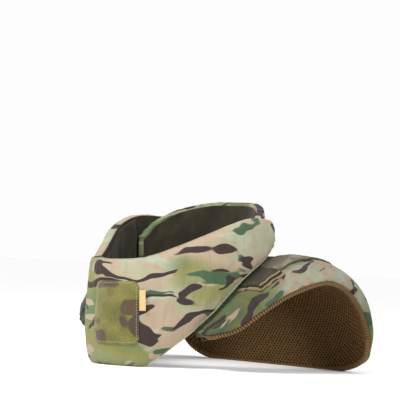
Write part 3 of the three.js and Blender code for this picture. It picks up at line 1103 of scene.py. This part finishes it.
def hem_pinch(position, share):
    """Short creases that run in from the hem and die out."""
    near_hem = smoothstep(share, 0.5, 0.92) * (1 - smoothstep(share, 0.96, 1))
    crease = ripple((position * 26, share * 2, 0), 9, 3)
    return near_hem * crease * PINCH_HEIGHT


def yoke_pad(share):
    thinning = YOKE_HEM_THICKNESS - YOKE_THICKNESS
    return YOKE_THICKNESS + thinning * smoothstep(share, 0.7, 1)


def yoke_upper(u, v):
    soft = SOFT_SWELL * ripple(between(YOKE_PLACES, u, v), 34, 21) * math.sin(math.pi * v)
    along, outward = yoke_map(u, v)
    slack = ripple((along / MM, 0.25 * outward / MM, 0), 12, 33)
    fold = FOLD_HEIGHT * slack * smoothstep(v, 0.05, 0.5)
    return yoke_at(u, v, hem_pinch(2 * LAST_ROW * u, v) + soft + fold)


def yoke_under(depth):
    return lambda u, v: yoke_at(u, v, -yoke_pad(v) - depth)


print("padding at root and hem, mm:", yoke_pad(0), yoke_pad(1))

# %% [markdown]
# ## Shoulder yoke
# The yoke is a padded saddle over both shoulders, with a flap down the back. It is puffed
# like the guard, but only clear of the collar, where the straps and the guard sit close.

# %% Shoulder yoke
YOKE_PUFF = 1.8
CLEAR_FROM, CLEAR_TO = SIDE_RADIUS + 4, SIDE_RADIUS + 24
yoke_mesh = shell(yoke_upper, yoke_under(0), yoke_map, YOKE_STEPS, YOKE_RINGS, inner_slot=1)
yoke = finish_piece("shoulder_yoke_pad", yoke_mesh, [YOKE_CLOTH, LINING])


def clear_of_collar(place):
    """Nothing at the root, where straps and guard sit close, and full farther out."""
    reach = math.hypot(place.x, place.y - PLACE_SHIFT.y) / MM
    return smoothstep(reach, CLEAR_FROM, CLEAR_TO)


puff(yoke, PRESSURE, YOKE_PUFF * MM, 8, clear_of_collar)
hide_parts("shoulder_yoke")
print("yoke faces:", len(yoke.data.polygons))

# %% [markdown]
# ## Laying out the net
# The underside is a thick knit with a lozenge net of threads. The net is planned flat, in
# millimetres from the hem inward, and then wrapped, so every hole keeps its size. That
# needs the running length along each section, and the place at which a length is reached.

# %% Layout of the net
HOLE_PITCH, HOLE_ROW = 5.3, 6.8
NET_DEPTH = SEAT_GAP + MESH_THICKNESS
NET_MARGIN = 1
SECTION_STEPS, SECTION_KEYS = 24, 600
COLUMN_LENGTHS = {}


def share_run(lengths, distance):
    """Share of a path at which its running length reaches a distance."""
    after = min(max(bisect_left(lengths, distance), 1), len(lengths) - 1)
    part = (distance - lengths[after - 1]) / (lengths[after] - lengths[after - 1])
    return (after - 1 + min(max(part, 0), 1)) / (len(lengths) - 1)


def column_lengths(u):
    """Distances from the hem inward along one section of the underside."""
    key = round(u * SECTION_KEYS)
    if key not in COLUMN_LENGTHS:
        under = yoke_under(NET_DEPTH)
        COLUMN_LENGTHS[key] = running([under(key / SECTION_KEYS, 1 - step / SECTION_STEPS)
                                       for step in range(SECTION_STEPS + 1)])
    return COLUMN_LENGTHS[key]


NET_WIDTH = YOKE_LENGTHS[-1] - 2 * NET_MARGIN
NET_COLUMNS = round(NET_WIDTH / HOLE_PITCH)
longest = max(column_lengths(step / 40)[-1] for step in range(41))
NET_ROWS = int(longest / HOLE_ROW)
print("net cells:", NET_COLUMNS, "by", NET_ROWS)

# %% [markdown]
# ## The lozenge net
# Poking each face of a grid and dissolving the old edges turns squares into staggered
# lozenges. Insetting each one leaves the threads, and sinking the middle makes the holes.
# The net's border is turned in, so that no open edge shows.

# %% Lozenge net
THREAD_HALF, HOLE_DEPTH = 0.72, 1.2
BORDER_DEPTH = 2.5 * HOLE_DEPTH


def hem_place(along):
    return share_run(YOKE_LENGTHS, NET_MARGIN + along)


def lay_net(along, inward, depth):
    u = hem_place(along)
    return yoke_under(NET_DEPTH - depth)(u, 1 - share_run(column_lengths(u), inward))


def past_root(face):
    centre = face.calc_center_median()
    return centre.y + HOLE_ROW > column_lengths(hem_place(centre.x))[-1]


def spacer_net():
    """Lozenges of thread, cut flat in millimetres and wrapped under the yoke."""
    bm = bmesh.new()
    bmesh.ops.create_grid(bm, x_segments=NET_COLUMNS, y_segments=NET_ROWS, size=0.5)
    for vert in bm.verts:
        vert.co = ((vert.co.x + 0.5) * NET_WIDTH, (vert.co.y + 0.5) * NET_ROWS * HOLE_ROW, 0)
    spare = [face for face in bm.faces if past_root(face)]
    bmesh.ops.delete(bm, geom=spare, context="FACES")
    old_edges = [edge for edge in bm.edges if not edge.is_boundary]
    bmesh.ops.poke(bm, faces=list(bm.faces))
    bmesh.ops.dissolve_edges(bm, edges=[edge for edge in old_edges if edge.is_valid])
    holes = list(bm.faces)
    bmesh.ops.inset_individual(bm, faces=holes, thickness=THREAD_HALF, use_even_offset=True)
    sunk = {vert for face in holes for vert in face.verts}
    for face in holes:
        face.material_index = 1
    border = [edge for edge in bm.edges if edge.is_boundary]
    turned_in = bmesh.ops.extrude_edge_only(bm, edges=border)
    hidden = {item for item in turned_in["geom"] if isinstance(item, bmesh.types.BMVert)}
    map_cloth(bm, lambda vert: (vert.co.x * MM, vert.co.y * MM))
    for vert in bm.verts:
        depth = BORDER_DEPTH if vert in hidden else HOLE_DEPTH if vert in sunk else 0
        vert.co = rest(lay_net(vert.co.x, vert.co.y, depth))
    bmesh.ops.recalc_face_normals(bm, faces=bm.faces)
    if sum(face.normal.z * face.calc_area() for face in bm.faces) > 0:
        bmesh.ops.reverse_faces(bm, faces=bm.faces)
    return bm


net = spacer_net()
print("faces in the net:", len(net.faces))

# %% [markdown]
# ## Tubes
# A rolled edge, a binding and a cord are all tubes along a path. A flat grid is rolled
# up, its two long sides are merged and its ends are filled, so the tube is closed.

# %% Tubes


def tube(ring_place, ring_map, steps, sides):
    """A flat grid rolled into a tube, sewn along its side and capped at both ends."""
    bm = bmesh.new()
    bmesh.ops.create_grid(bm, x_segments=steps, y_segments=sides, size=0.5)
    flat = {vert: (round((vert.co.x + 0.5) * steps), round((vert.co.y + 0.5) * sides))
            for vert in bm.verts}
    map_cloth(bm, lambda vert: ring_map(*flat[vert]))
    for vert in bm.verts:
        step, side = flat[vert]
        place = ring_place(step, 2 * math.pi * (side % sides) / sides)
        vert.co = Vector((place.x, place.y, max(place.z, 0)))
    bmesh.ops.remove_doubles(bm, verts=bm.verts, dist=1e-6)
    bmesh.ops.holes_fill(bm, edges=[edge for edge in bm.edges if edge.is_boundary], sides=sides)
    face_outward(bm)
    return bm


trial = tube(lambda step, turn: Vector((step, math.cos(turn), 2 + math.sin(turn))),
             lambda step, side: (step, side), 3, 8)
print("faces in a short closed tube:", len(trial.faces))
trial.free()

# %% [markdown]
# ## The knitted edge
# The mesh ends in a rolled edge of coarse stitches. Swelling a tube in slanted waves gives
# each stitch its own round back, and the material paints shade into the grooves between them.

# %% Knitted edge
EDGE_CORD, EDGE_STITCH = 3.6, 3.8
STITCH_SWELL, STITCH_SLANT = 0.16, 1.4
EDGE_INSET = 1.4


def knitted_edge(path, sides=12):
    """A rolled edge with chevron stitches, along (place, normal, inward, run)."""
    def chevron(step, turn):
        return path[step][3] / EDGE_STITCH + abs(turn / (2 * math.pi) - 0.5) * STITCH_SLANT

    def place(step, turn):
        spot, normal, inward, _ = path[step]
        wave = math.cos(2 * math.pi * chevron(step, turn))
        swell = EDGE_CORD * (1 + STITCH_SWELL * wave)
        return rest(spot + (inward * math.cos(turn) + normal * math.sin(turn)) * swell)

    def stitch_map(step, side):
        return path[step][3] * MM, chevron(step, 2 * math.pi * side / sides) * EDGE_STITCH * MM

    return tube(place, stitch_map, len(path) - 1, sides)


def hem_path(step_length, depth):
    count, path, run = int(YOKE_LENGTHS[-1] / step_length), [], 0.0
    for step in range(count + 1):
        u = step / count
        place = yoke_under(depth)(u, 1)
        inward = (yoke_under(depth)(u, 0.97) - place).normalized()
        place += inward * EDGE_INSET
        run += (place - path[-1][0]).length if path else 0
        path.append((place, between(YOKE_NORMALS, u, 1), inward, run))
    return path


edge_cord = knitted_edge(hem_path(0.8, SEAT_GAP + MESH_THICKNESS / 2))
print("faces in the knitted edge:", len(edge_cord.faces))

# %% [markdown]
# ## Spacer mesh
# A body painted near black fills the knit behind the net, as painted shade, so nobody looks
# through the holes at the yoke. Body, net and edge are joined to one piece, since they are
# one knit on the real thing, and each keeps its own material.

# %% Spacer mesh
BODY_SINK = 0.4


def joined(*meshes):
    """One bmesh that holds several, through a shared mesh."""
    bm = bmesh.new()
    for part in meshes:
        held = bpy.data.meshes.new("held")
        part.to_mesh(held)
        part.free()
        bm.from_mesh(held)
        bpy.data.meshes.remove(held)
    return bm


def painted(bm, slot):
    for face in bm.faces:
        face.material_index = slot
    return bm


spacer_body = shell(yoke_under(SEAT_GAP), yoke_under(NET_DEPTH - HOLE_DEPTH - BODY_SINK), yoke_map,
                    YOKE_STEPS, SECTION_STEPS)
# The body takes the holes' painted shade.
spacer_mesh = joined(painted(spacer_body, 1), net, painted(edge_cord, 2))
spacer = finish_piece("spacer_mesh_knit", spacer_mesh, [THREAD, HOLE_SHADE, EDGE_KNIT])
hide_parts("spacer_mesh")
print("spacer mesh faces:", len(spacer.data.polygons))

# %% [markdown]
# ## Laying cloth on the guard
# The loop panel and the label are cut flat and sewn on. Each point is dropped onto the
# finished guard, so they follow its swell exactly. A search tree finds the nearest place
# on the guard quickly, from an aim just outside it.

# %% Laying cloth on the guard
AIM_LIFT = 6


def bvh_of(piece):
    mesh = piece.data
    return BVHTree.FromPolygons([vert.co for vert in mesh.vertices],
                                [face.vertices for face in mesh.polygons])


def laid_shell(outside, inside, cloth_map, columns, rows):
    """A shell whose surfaces already give places in the frame, in metres."""
    return shell(outside, inside, cloth_map, columns, rows, place=lambda point: point)


def on_guard(distance, height, lift):
    """A point standing off the finished guard by lift, measured along its normal."""
    aim = rest(guard_at_height(distance, height, AIM_LIFT))
    found, normal, _, _ = guard_tree.find_nearest(aim)
    return found + normal * lift * MM


guard_tree = bvh_of(guard_pad)
print("middle of the bib in the frame, m:", [round(c, 3) for c in on_guard(0, 80, 0)])

# %% [markdown]
# ## Loop patch
# The panel is sewn flat along its edge, so it thins there, and its corners are round. A
# shell with its own thickness shows that edge, which a painted rectangle would lack.

# %% Loop patch
PATCH_RIGHT, PATCH_LEFT = -5, 47
PATCH_BOTTOM, PATCH_TOP = 51, 128
PATCH_CORNER = 8
PATCH_THICKNESS = 1.8
SEWN_WIDTH, SEWN_DEPTH = 3.5, 0.9


def patch_layer(lift):
    width, tall = PATCH_LEFT - PATCH_RIGHT, PATCH_TOP - PATCH_BOTTOM

    def at(u, v):
        missing = max(PATCH_CORNER - width * min(u, 1 - u), 0)
        inset = PATCH_CORNER - math.sqrt(PATCH_CORNER ** 2 - 0.96 * missing ** 2)
        height = (PATCH_BOTTOM + inset) * (1 - v) + (PATCH_TOP - inset) * v
        border = min(width * min(u, 1 - u), tall * min(v, 1 - v))
        sewn = SEWN_DEPTH * rounded_edge(border, SEWN_WIDTH) if lift > SEAT_GAP else 0
        return on_guard(PATCH_RIGHT + width * u, height, lift - sewn)
    return at


def patch_map(u, v):
    return (PATCH_LEFT - PATCH_RIGHT) * u * MM, (PATCH_TOP - PATCH_BOTTOM) * v * MM


patch_mesh = laid_shell(patch_layer(SEAT_GAP + PATCH_THICKNESS), patch_layer(SEAT_GAP),
                        patch_map, 50, 70)
loop_patch = finish_piece("loop_patch_pile", patch_mesh, [PILE])
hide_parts("loop_patch")

# %% [markdown]
# ## Side label
# A short tape is folded double and caught in the seam beside the patch. A flat shell is
# enough at this size. It stands off the guard towards its fold, so it throws a thin shadow.

# %% Side label
LABEL_WIDTH, LABEL_HEIGHT, LABEL_TOP = 6.5, 25, 117
LABEL_STAND, LABEL_THICKNESS = 3, 1.2


def label_layer(thickness):
    def at(u, v):
        start = PATCH_LEFT + SEAT_GAP
        lift = SEAT_GAP + LABEL_STAND * u ** 2 + thickness
        return on_guard(start + LABEL_WIDTH * u, LABEL_TOP - LABEL_HEIGHT * (1 - v), lift)
    return at


def label_map(u, v):
    return u * LABEL_WIDTH * MM, v * LABEL_HEIGHT * MM


label_mesh = laid_shell(label_layer(LABEL_THICKNESS), label_layer(0), label_map, 10, 20)
side_label = finish_piece("side_label_tape", label_mesh, [LABEL])
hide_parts("side_label")

# %% [markdown]
# ## Laying bands on the yoke
# Flat bands are dropped straight down onto the finished yoke, and stand off it by their
# own height in the stack. A band is a thin shell, cut square as webbing is.

# %% Laying bands on the yoke
DOWN = Vector((0, 0, -1))
SKY = 0.5


def on_yoke(x, y, lift):
    over = rest(Vector((x, y, yoke_top(x, y))))
    hit, normal, _, _ = yoke_tree.ray_cast(Vector((over.x, over.y, SKY)), DOWN)
    return hit + normal * lift * MM


def band(name, side, inner, outer, front, back, lift, thickness, material, node):
    length, width = front - back, outer - inner

    def layer(rise):
        return lambda u, v: on_yoke(side * (inner + width * v), -(front - length * u), rise)

    def band_map(u, v):
        return length * u * MM, width * v * MM

    mesh = laid_shell(layer(lift + thickness), layer(lift), band_map,
                      max(int(length / 2), 8), max(int(width / 2), 8))
    piece = finish_piece(name, mesh, [material])
    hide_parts(node)
    return piece


yoke_tree = bvh_of(yoke)
print("yoke beside the collar in the frame, m:", [round(c, 3) for c in on_yoke(110, 0, 0)])

# %% [markdown]
# ## Webbing and straps
# On each shoulder a ribbed band runs from front to back beside the collar. A cross strap
# comes out from under the guard on a base of printed cloth, which is a sheet of its own.
# The far side isn't seen in the photo, so it mirrors the near one.

# %% Webbing and straps
WEBBING_OUTER, WEBBING_BACK, WEBBING_THICKNESS = 130, -138, 2
STRAP_FRONT, STRAP_BACK, STRAP_INNER, STRAP_OUTER = 13, -24, 99, 138
BASE_MARGIN = 3.5
BASE_FRONT, BASE_BACK = STRAP_FRONT + BASE_MARGIN, STRAP_BACK - SEAT_GAP
BASE_OUTER = STRAP_OUTER + BASE_MARGIN
SIDES = ((1, "left"), (-1, "right"))


def cut_width(side, inner, outer, y):
    """How wide a cloth is cut to reach across the sloping yoke, in millimetres."""
    places = [side * (inner + (outer - inner) * step / 12) for step in range(13)]
    return running([on_yoke(x, y, SEAT_GAP) for x in places])[-1] / MM


for side, suffix in SIDES:
    band(f"shoulder_band_{suffix}", side, COLLAR_RADIUS + 2 * SEAT_GAP, WEBBING_OUTER,
         BASE_BACK - 2 * SEAT_GAP, WEBBING_BACK, SEAT_GAP, WEBBING_THICKNESS,
         WEBBING, f"shoulder_webbing_{suffix}")
    base = band(f"strap_base_cloth_{suffix}", side, STRAP_INNER, BASE_OUTER, BASE_FRONT,
                BASE_BACK, SEAT_GAP, BASE_THICKNESS,
                BASE_CLOTH, f"strap_base_{suffix}")
    cut_width(side, STRAP_INNER, BASE_OUTER, 0)
    band(f"cross_strap_band_{suffix}", side, STRAP_INNER, STRAP_OUTER, STRAP_FRONT,
         STRAP_BACK, BASE_THICKNESS + 2 * SEAT_GAP, STRAP_THICKNESS,
         STRAPPING, f"cross_strap_{suffix}")

# %% [markdown]
# ## A row of stitches
# Seams tell how a sewn thing is put together. A stitch is a small stretched ball, laid
# along a path at an even spacing and turned to lie on the cloth.

# %% Row of stitches


def stitch_row(points, spacing, length, radius):
    """Stitches along (place, normal) points in metres, evenly spaced."""
    bm = bmesh.new()
    run, due = 0.0, 0.0
    for (place, normal), (following, _) in zip(points, points[1:]):
        ahead = following - place
        while due <= run + ahead.length:
            along = ahead.normalized()
            spot = place + along * (due - run)
            aside = normal.cross(along).normalized()
            turned = Matrix((along, aside, along.cross(aside))).transposed().to_4x4()
            size = Matrix.Diagonal((length / 2, radius * 1.2, radius, 1)) * MM
            size[3][3] = 1
            bmesh.ops.create_icosphere(bm, subdivisions=1, radius=1,
                                       matrix=Matrix.Translation(spot) @ turned @ size)
            due += spacing * MM
        run += ahead.length
    map_cloth(bm, lambda vert: (vert.co.x + vert.co.y, vert.co.z))
    return bm


trial_path = [(Vector((step * 0.01, 0, 0)), Vector((0, 0, 1))) for step in range(3)]
trial = stitch_row(trial_path, 4, 2.6, 0.4)
print("faces in the stitches of 20 mm:", len(trial.faces))
trial.free()

# %% [markdown]
# ## Paths and cords
# A binding is a thin round cord. Both cords and stitches follow a path of places, each
# with the surface's normal, so that they lie on the finished cloth and turn with it.

# %% Paths and cords


def surface_path(tree, places):
    """Points dropped on a finished surface, each with its normal."""
    found = [tree.find_nearest(place) for place in places]
    return [(spot, normal) for spot, normal, _, _ in found]


def cord(points, radius, sides=8):
    """A smooth round cord through (place, normal) points in metres."""
    def place(step, turn):
        spot, normal = points[step]
        ahead = points[min(step + 1, len(points) - 1)][0] - points[max(step - 1, 0)][0]
        aside = normal.cross(ahead).normalized()
        upward = ahead.cross(aside).normalized()
        return spot + (upward * math.cos(turn) + aside * math.sin(turn)) * radius * MM

    return tube(place, lambda step, side: (step * 0.002, side * 0.001), len(points) - 1, sides)


def span(low, high, count):
    return [low + (high - low) * step / count for step in range(count + 1)]


def corner_path(corners):
    """Places about 2 mm apart from corner to corner in a plane, without the last."""
    spots = []
    for (x0, y0), (x1, y1) in zip(corners, corners[1:]):
        count = max(int(math.hypot(x1 - x0, y1 - y0) / 2), 1)
        spots += [(x0 + (x1 - x0) * s / count, y0 + (y1 - y0) * s / count) for s in range(count)]
    return spots


print("places along two sides of 10 mm:", len(corner_path([(0, 0), (10, 0), (10, 10)])))

# %% [markdown]
# ## Guard edge binding
# A thin pale binding closes the guard's foot, where face and lining meet. Only a narrow
# line of it shows, so a cord pressed into the edge is enough.

# %% Guard edge binding
END_GAP, BINDING_DEPTH = 3, -3
reach = GUARD_HALF - END_GAP
foot_places = [rest(guard_point(distance, 0, BINDING_DEPTH))
               for distance in span(-reach, reach, 240)]
guard_foot = surface_path(guard_tree, foot_places)
guard_binding = finish_piece("guard_edge_binding", cord(guard_foot, 1.3), [BINDING])
print("faces in the binding:", len(guard_binding.data.polygons))

# %% [markdown]
# ## Patch stitches
# One row of pale stitches runs round the loop patch, a little in from its edge. Drawn
# stitches would lie flat in the pile, so each one is modelled. The path is the patch's
# outline moved inward, so it rounds the corners as the needle does.

# %% Patch stitches
INSET = 2.6


def patch_ring():
    """The patch's outline, moved in to where it is sewn."""
    left, right = PATCH_RIGHT + INSET, PATCH_LEFT - INSET
    low, high, corner = PATCH_BOTTOM + INSET, PATCH_TOP - INSET, PATCH_CORNER - INSET
    ring = []
    near, far = left + corner, right - corner
    under, over = low + corner, high - corner
    for centre_x, centre_y, start in ((far, over, 0), (near, over, 90),
                                      (near, under, 180), (far, under, 270)):
        for step in range(7):
            angle = math.radians(start + 15 * step)
            ring.append((centre_x + corner * math.cos(angle), centre_y + corner * math.sin(angle)))
    return ring + ring[:1]


ring_places = [on_guard(x, y, 2.4) for x, y in corner_path(patch_ring())]
ring_path = surface_path(bvh_of(loop_patch), ring_places + ring_places[:1])
patch_stitches = finish_piece("patch_stitches", stitch_row(ring_path, 3.4, 2.2, 0.4), [SEW_THREAD])
print("places round the patch:", len(ring_path))

# %% [markdown]
# ## Stitches and edges of the straps
# A box of dark stitches holds each strap to its base. The strap ends in a tan fold, the
# base has a rolled edge, and a thin dark cord lies along the ribbed band's outer edge. These
# thin lines are what tell one layer from the next in the photo.

# %% Stitches and edges of the straps


def band_path(side, places, lift):
    spots = corner_path(places) + [places[-1]]
    path = [on_yoke(side * x, -y, lift) for x, y in spots]
    normals = [on_yoke(side * x, -y, lift + 1) - place for (x, y), place in zip(spots, path)]
    return [(place, normal.normalized()) for place, normal in zip(path, normals)]


def edging(name, path, radius, material):
    piece = finish_piece(name, cord(path, radius), [material])


strap_top = BASE_THICKNESS + 2 * SEAT_GAP + STRAP_THICKNESS
base_top, webbing_top = SEAT_GAP + BASE_THICKNESS, SEAT_GAP + WEBBING_THICKNESS
box = [(STRAP_INNER + 4, STRAP_FRONT - 3), (STRAP_OUTER - 9, STRAP_FRONT - 3),
       (STRAP_OUTER - 9, STRAP_BACK + 3), (STRAP_INNER + 4, STRAP_BACK + 3)]
end = [(STRAP_OUTER - 3, STRAP_FRONT - 1), (STRAP_OUTER - 3, STRAP_BACK + 1)]
outer, front = BASE_OUTER - 1, BASE_FRONT - 1
hem = [(STRAP_INNER + 1, front), (outer - 3, front), (outer, front - 3), (outer, STRAP_BACK)]
edge = [(WEBBING_OUTER - 0.6, STRAP_BACK - 2), (WEBBING_OUTER - 0.6, WEBBING_BACK + 1)]
for side, suffix in SIDES:
    box_stitches = stitch_row(band_path(side, box, strap_top), 3.2, 2.3, 0.35)
    strap_stitches = finish_piece(f"strap_stitches_{suffix}", box_stitches, [DARK_CORD])
    edging(f"strap_end_{suffix}", band_path(side, end, strap_top - 0.3), 1.1,
           TAN_END)
    edging(f"base_edge_{suffix}", band_path(side, hem, base_top - 0.2), 0.9,
           BROWN_CORD)
    edging(f"band_edge_{suffix}", band_path(side, edge, webbing_top - 0.5), 0.8,
           DARK_CORD)
    print(suffix, "strap sewn with faces:", len(strap_stitches.data.polygons))

# %% [markdown]
# ## Floor
# A product picture stands on a pale floor without an edge. A large plain sheet does this,
# a hair below the protector, so that the two never share a surface.

# %% Floor


def painted_floor(white, roughness):
    finish = bpy.data.materials.new("floor_paint")
    finish.use_nodes = True
    surface = finish.node_tree.nodes["Principled BSDF"]
    surface.inputs["Base Color"].default_value = (white, white, white, 1)
    surface.inputs["Roughness"].default_value = roughness
    return finish


floor_mesh = bmesh.new()
bmesh.ops.create_grid(floor_mesh, x_segments=1, y_segments=1, size=20)
bmesh.ops.translate(floor_mesh, vec=(0, 0, -0.0002), verts=floor_mesh.verts)
floor_data = bpy.data.meshes.new("floor")
floor_mesh.to_mesh(floor_data)
floor_mesh.free()
floor_data.materials.append(painted_floor(0.97, 0.9))
floor = bpy.data.objects.new("floor", floor_data)
bpy.context.scene.collection.objects.link(floor)
print("floor in metres:", [round(side, 1) for side in floor.dimensions])

# %% [markdown]
# ## Sky and lamps
# A bright even sky gives the plain white look, but by itself it hides every fold. One
# soft key lamp from the front shades the folds, and a weak fill keeps the mesh readable.

# %% Sky and lamps
world = bpy.data.worlds.new("sky")
world.use_nodes = True
world.node_tree.nodes["Background"].inputs["Color"].default_value = (1, 1, 1, 1)
world.node_tree.nodes["Background"].inputs["Strength"].default_value = 0.72
bpy.context.scene.world = world
bpy.context.scene.view_settings.view_transform = "Standard"
bpy.context.scene.view_settings.exposure = 0.45


def lamp(name, place, power, size):
    data = bpy.data.lights.new(name, "AREA")
    data.energy = power
    data.size = size
    light = bpy.data.objects.new(name, data)
    light.location = place
    light.rotation_euler = (-Vector(place)).to_track_quat("-Z", "Y").to_euler()
    bpy.context.scene.collection.objects.link(light)


lamp("key", (0.1, -1.5, 1.5), 30, 0.7)
lamp("fill", (1.7, 0.3, 0.9), 10, 1.0)
print("lamps:", [light.name for light in bpy.data.lights])

# %% [markdown]
# ## The camera's line of sight
# The photo was taken level with the shoulders, from the front left. Lengths are upright
# millimetres, like the pattern's, and the scale is in photo pixels for each of them. The
# eye is raised three degrees about the target, so that it stays above the floor.

# %% Line of sight
PHOTO_SIDE = 400
SCALE_AT_AXIS = 0.79
DISTANCE = 2500
EYE_HEIGHT = 151
AXIS_COLUMN, EYE_ROW = 192, 256
NECK_OFFSET = 5
CAMERA_RAISE = math.radians(3)
SENSOR = 36

middle_row = EYE_HEIGHT + (EYE_ROW - PHOTO_SIDE / 2) / SCALE_AT_AXIS
aside = (PHOTO_SIDE / 2 - AXIS_COLUMN) / SCALE_AT_AXIS
away = Vector((math.sqrt(0.5), -math.sqrt(0.5), 0))
across = Vector((math.sqrt(0.5), math.sqrt(0.5), 0))
neck = Vector((0, NECK_OFFSET, 0))
target = neck + across * aside + Vector((0, 0, middle_row))
eye = neck + away * DISTANCE + Vector((0, 0, EYE_HEIGHT))
raised = Matrix.Rotation(-CAMERA_RAISE, 3, across)
eye = target + raised @ (eye - target)
print("camera looks at, upright mm:", [round(c) for c in target])

# %% [markdown]
# ## Camera
# The camera leans with the protector, as if both had been tipped forward together. So the
# picture shows it as worn, though it stands at rest.

# %% Camera
camera_data = bpy.data.cameras.new("camera")
camera_data.sensor_width = SENSOR
camera_data.lens = SENSOR * SCALE_AT_AXIS * DISTANCE / PHOTO_SIDE
camera = bpy.data.objects.new("camera", camera_data)
bpy.context.scene.collection.objects.link(camera)
eye_place = upright_to_rest(eye) + PLACE_SHIFT
target_place = upright_to_rest(target) + PLACE_SHIFT
back = (eye_place - target_place).normalized()
up = (LEAN @ Vector((0, 0, 1))).to_3d()
right = up.cross(back).normalized()
upward = back.cross(right)
turn = Matrix((right, upward, back)).transposed()
camera.matrix_world = Matrix.Translation(eye_place) @ turn.to_4x4()
camera_data.clip_end = 100
bpy.context.scene.camera = camera
print("camera height in m:", round(eye_place.z, 3), "lens in mm:", round(camera_data.lens, 1))
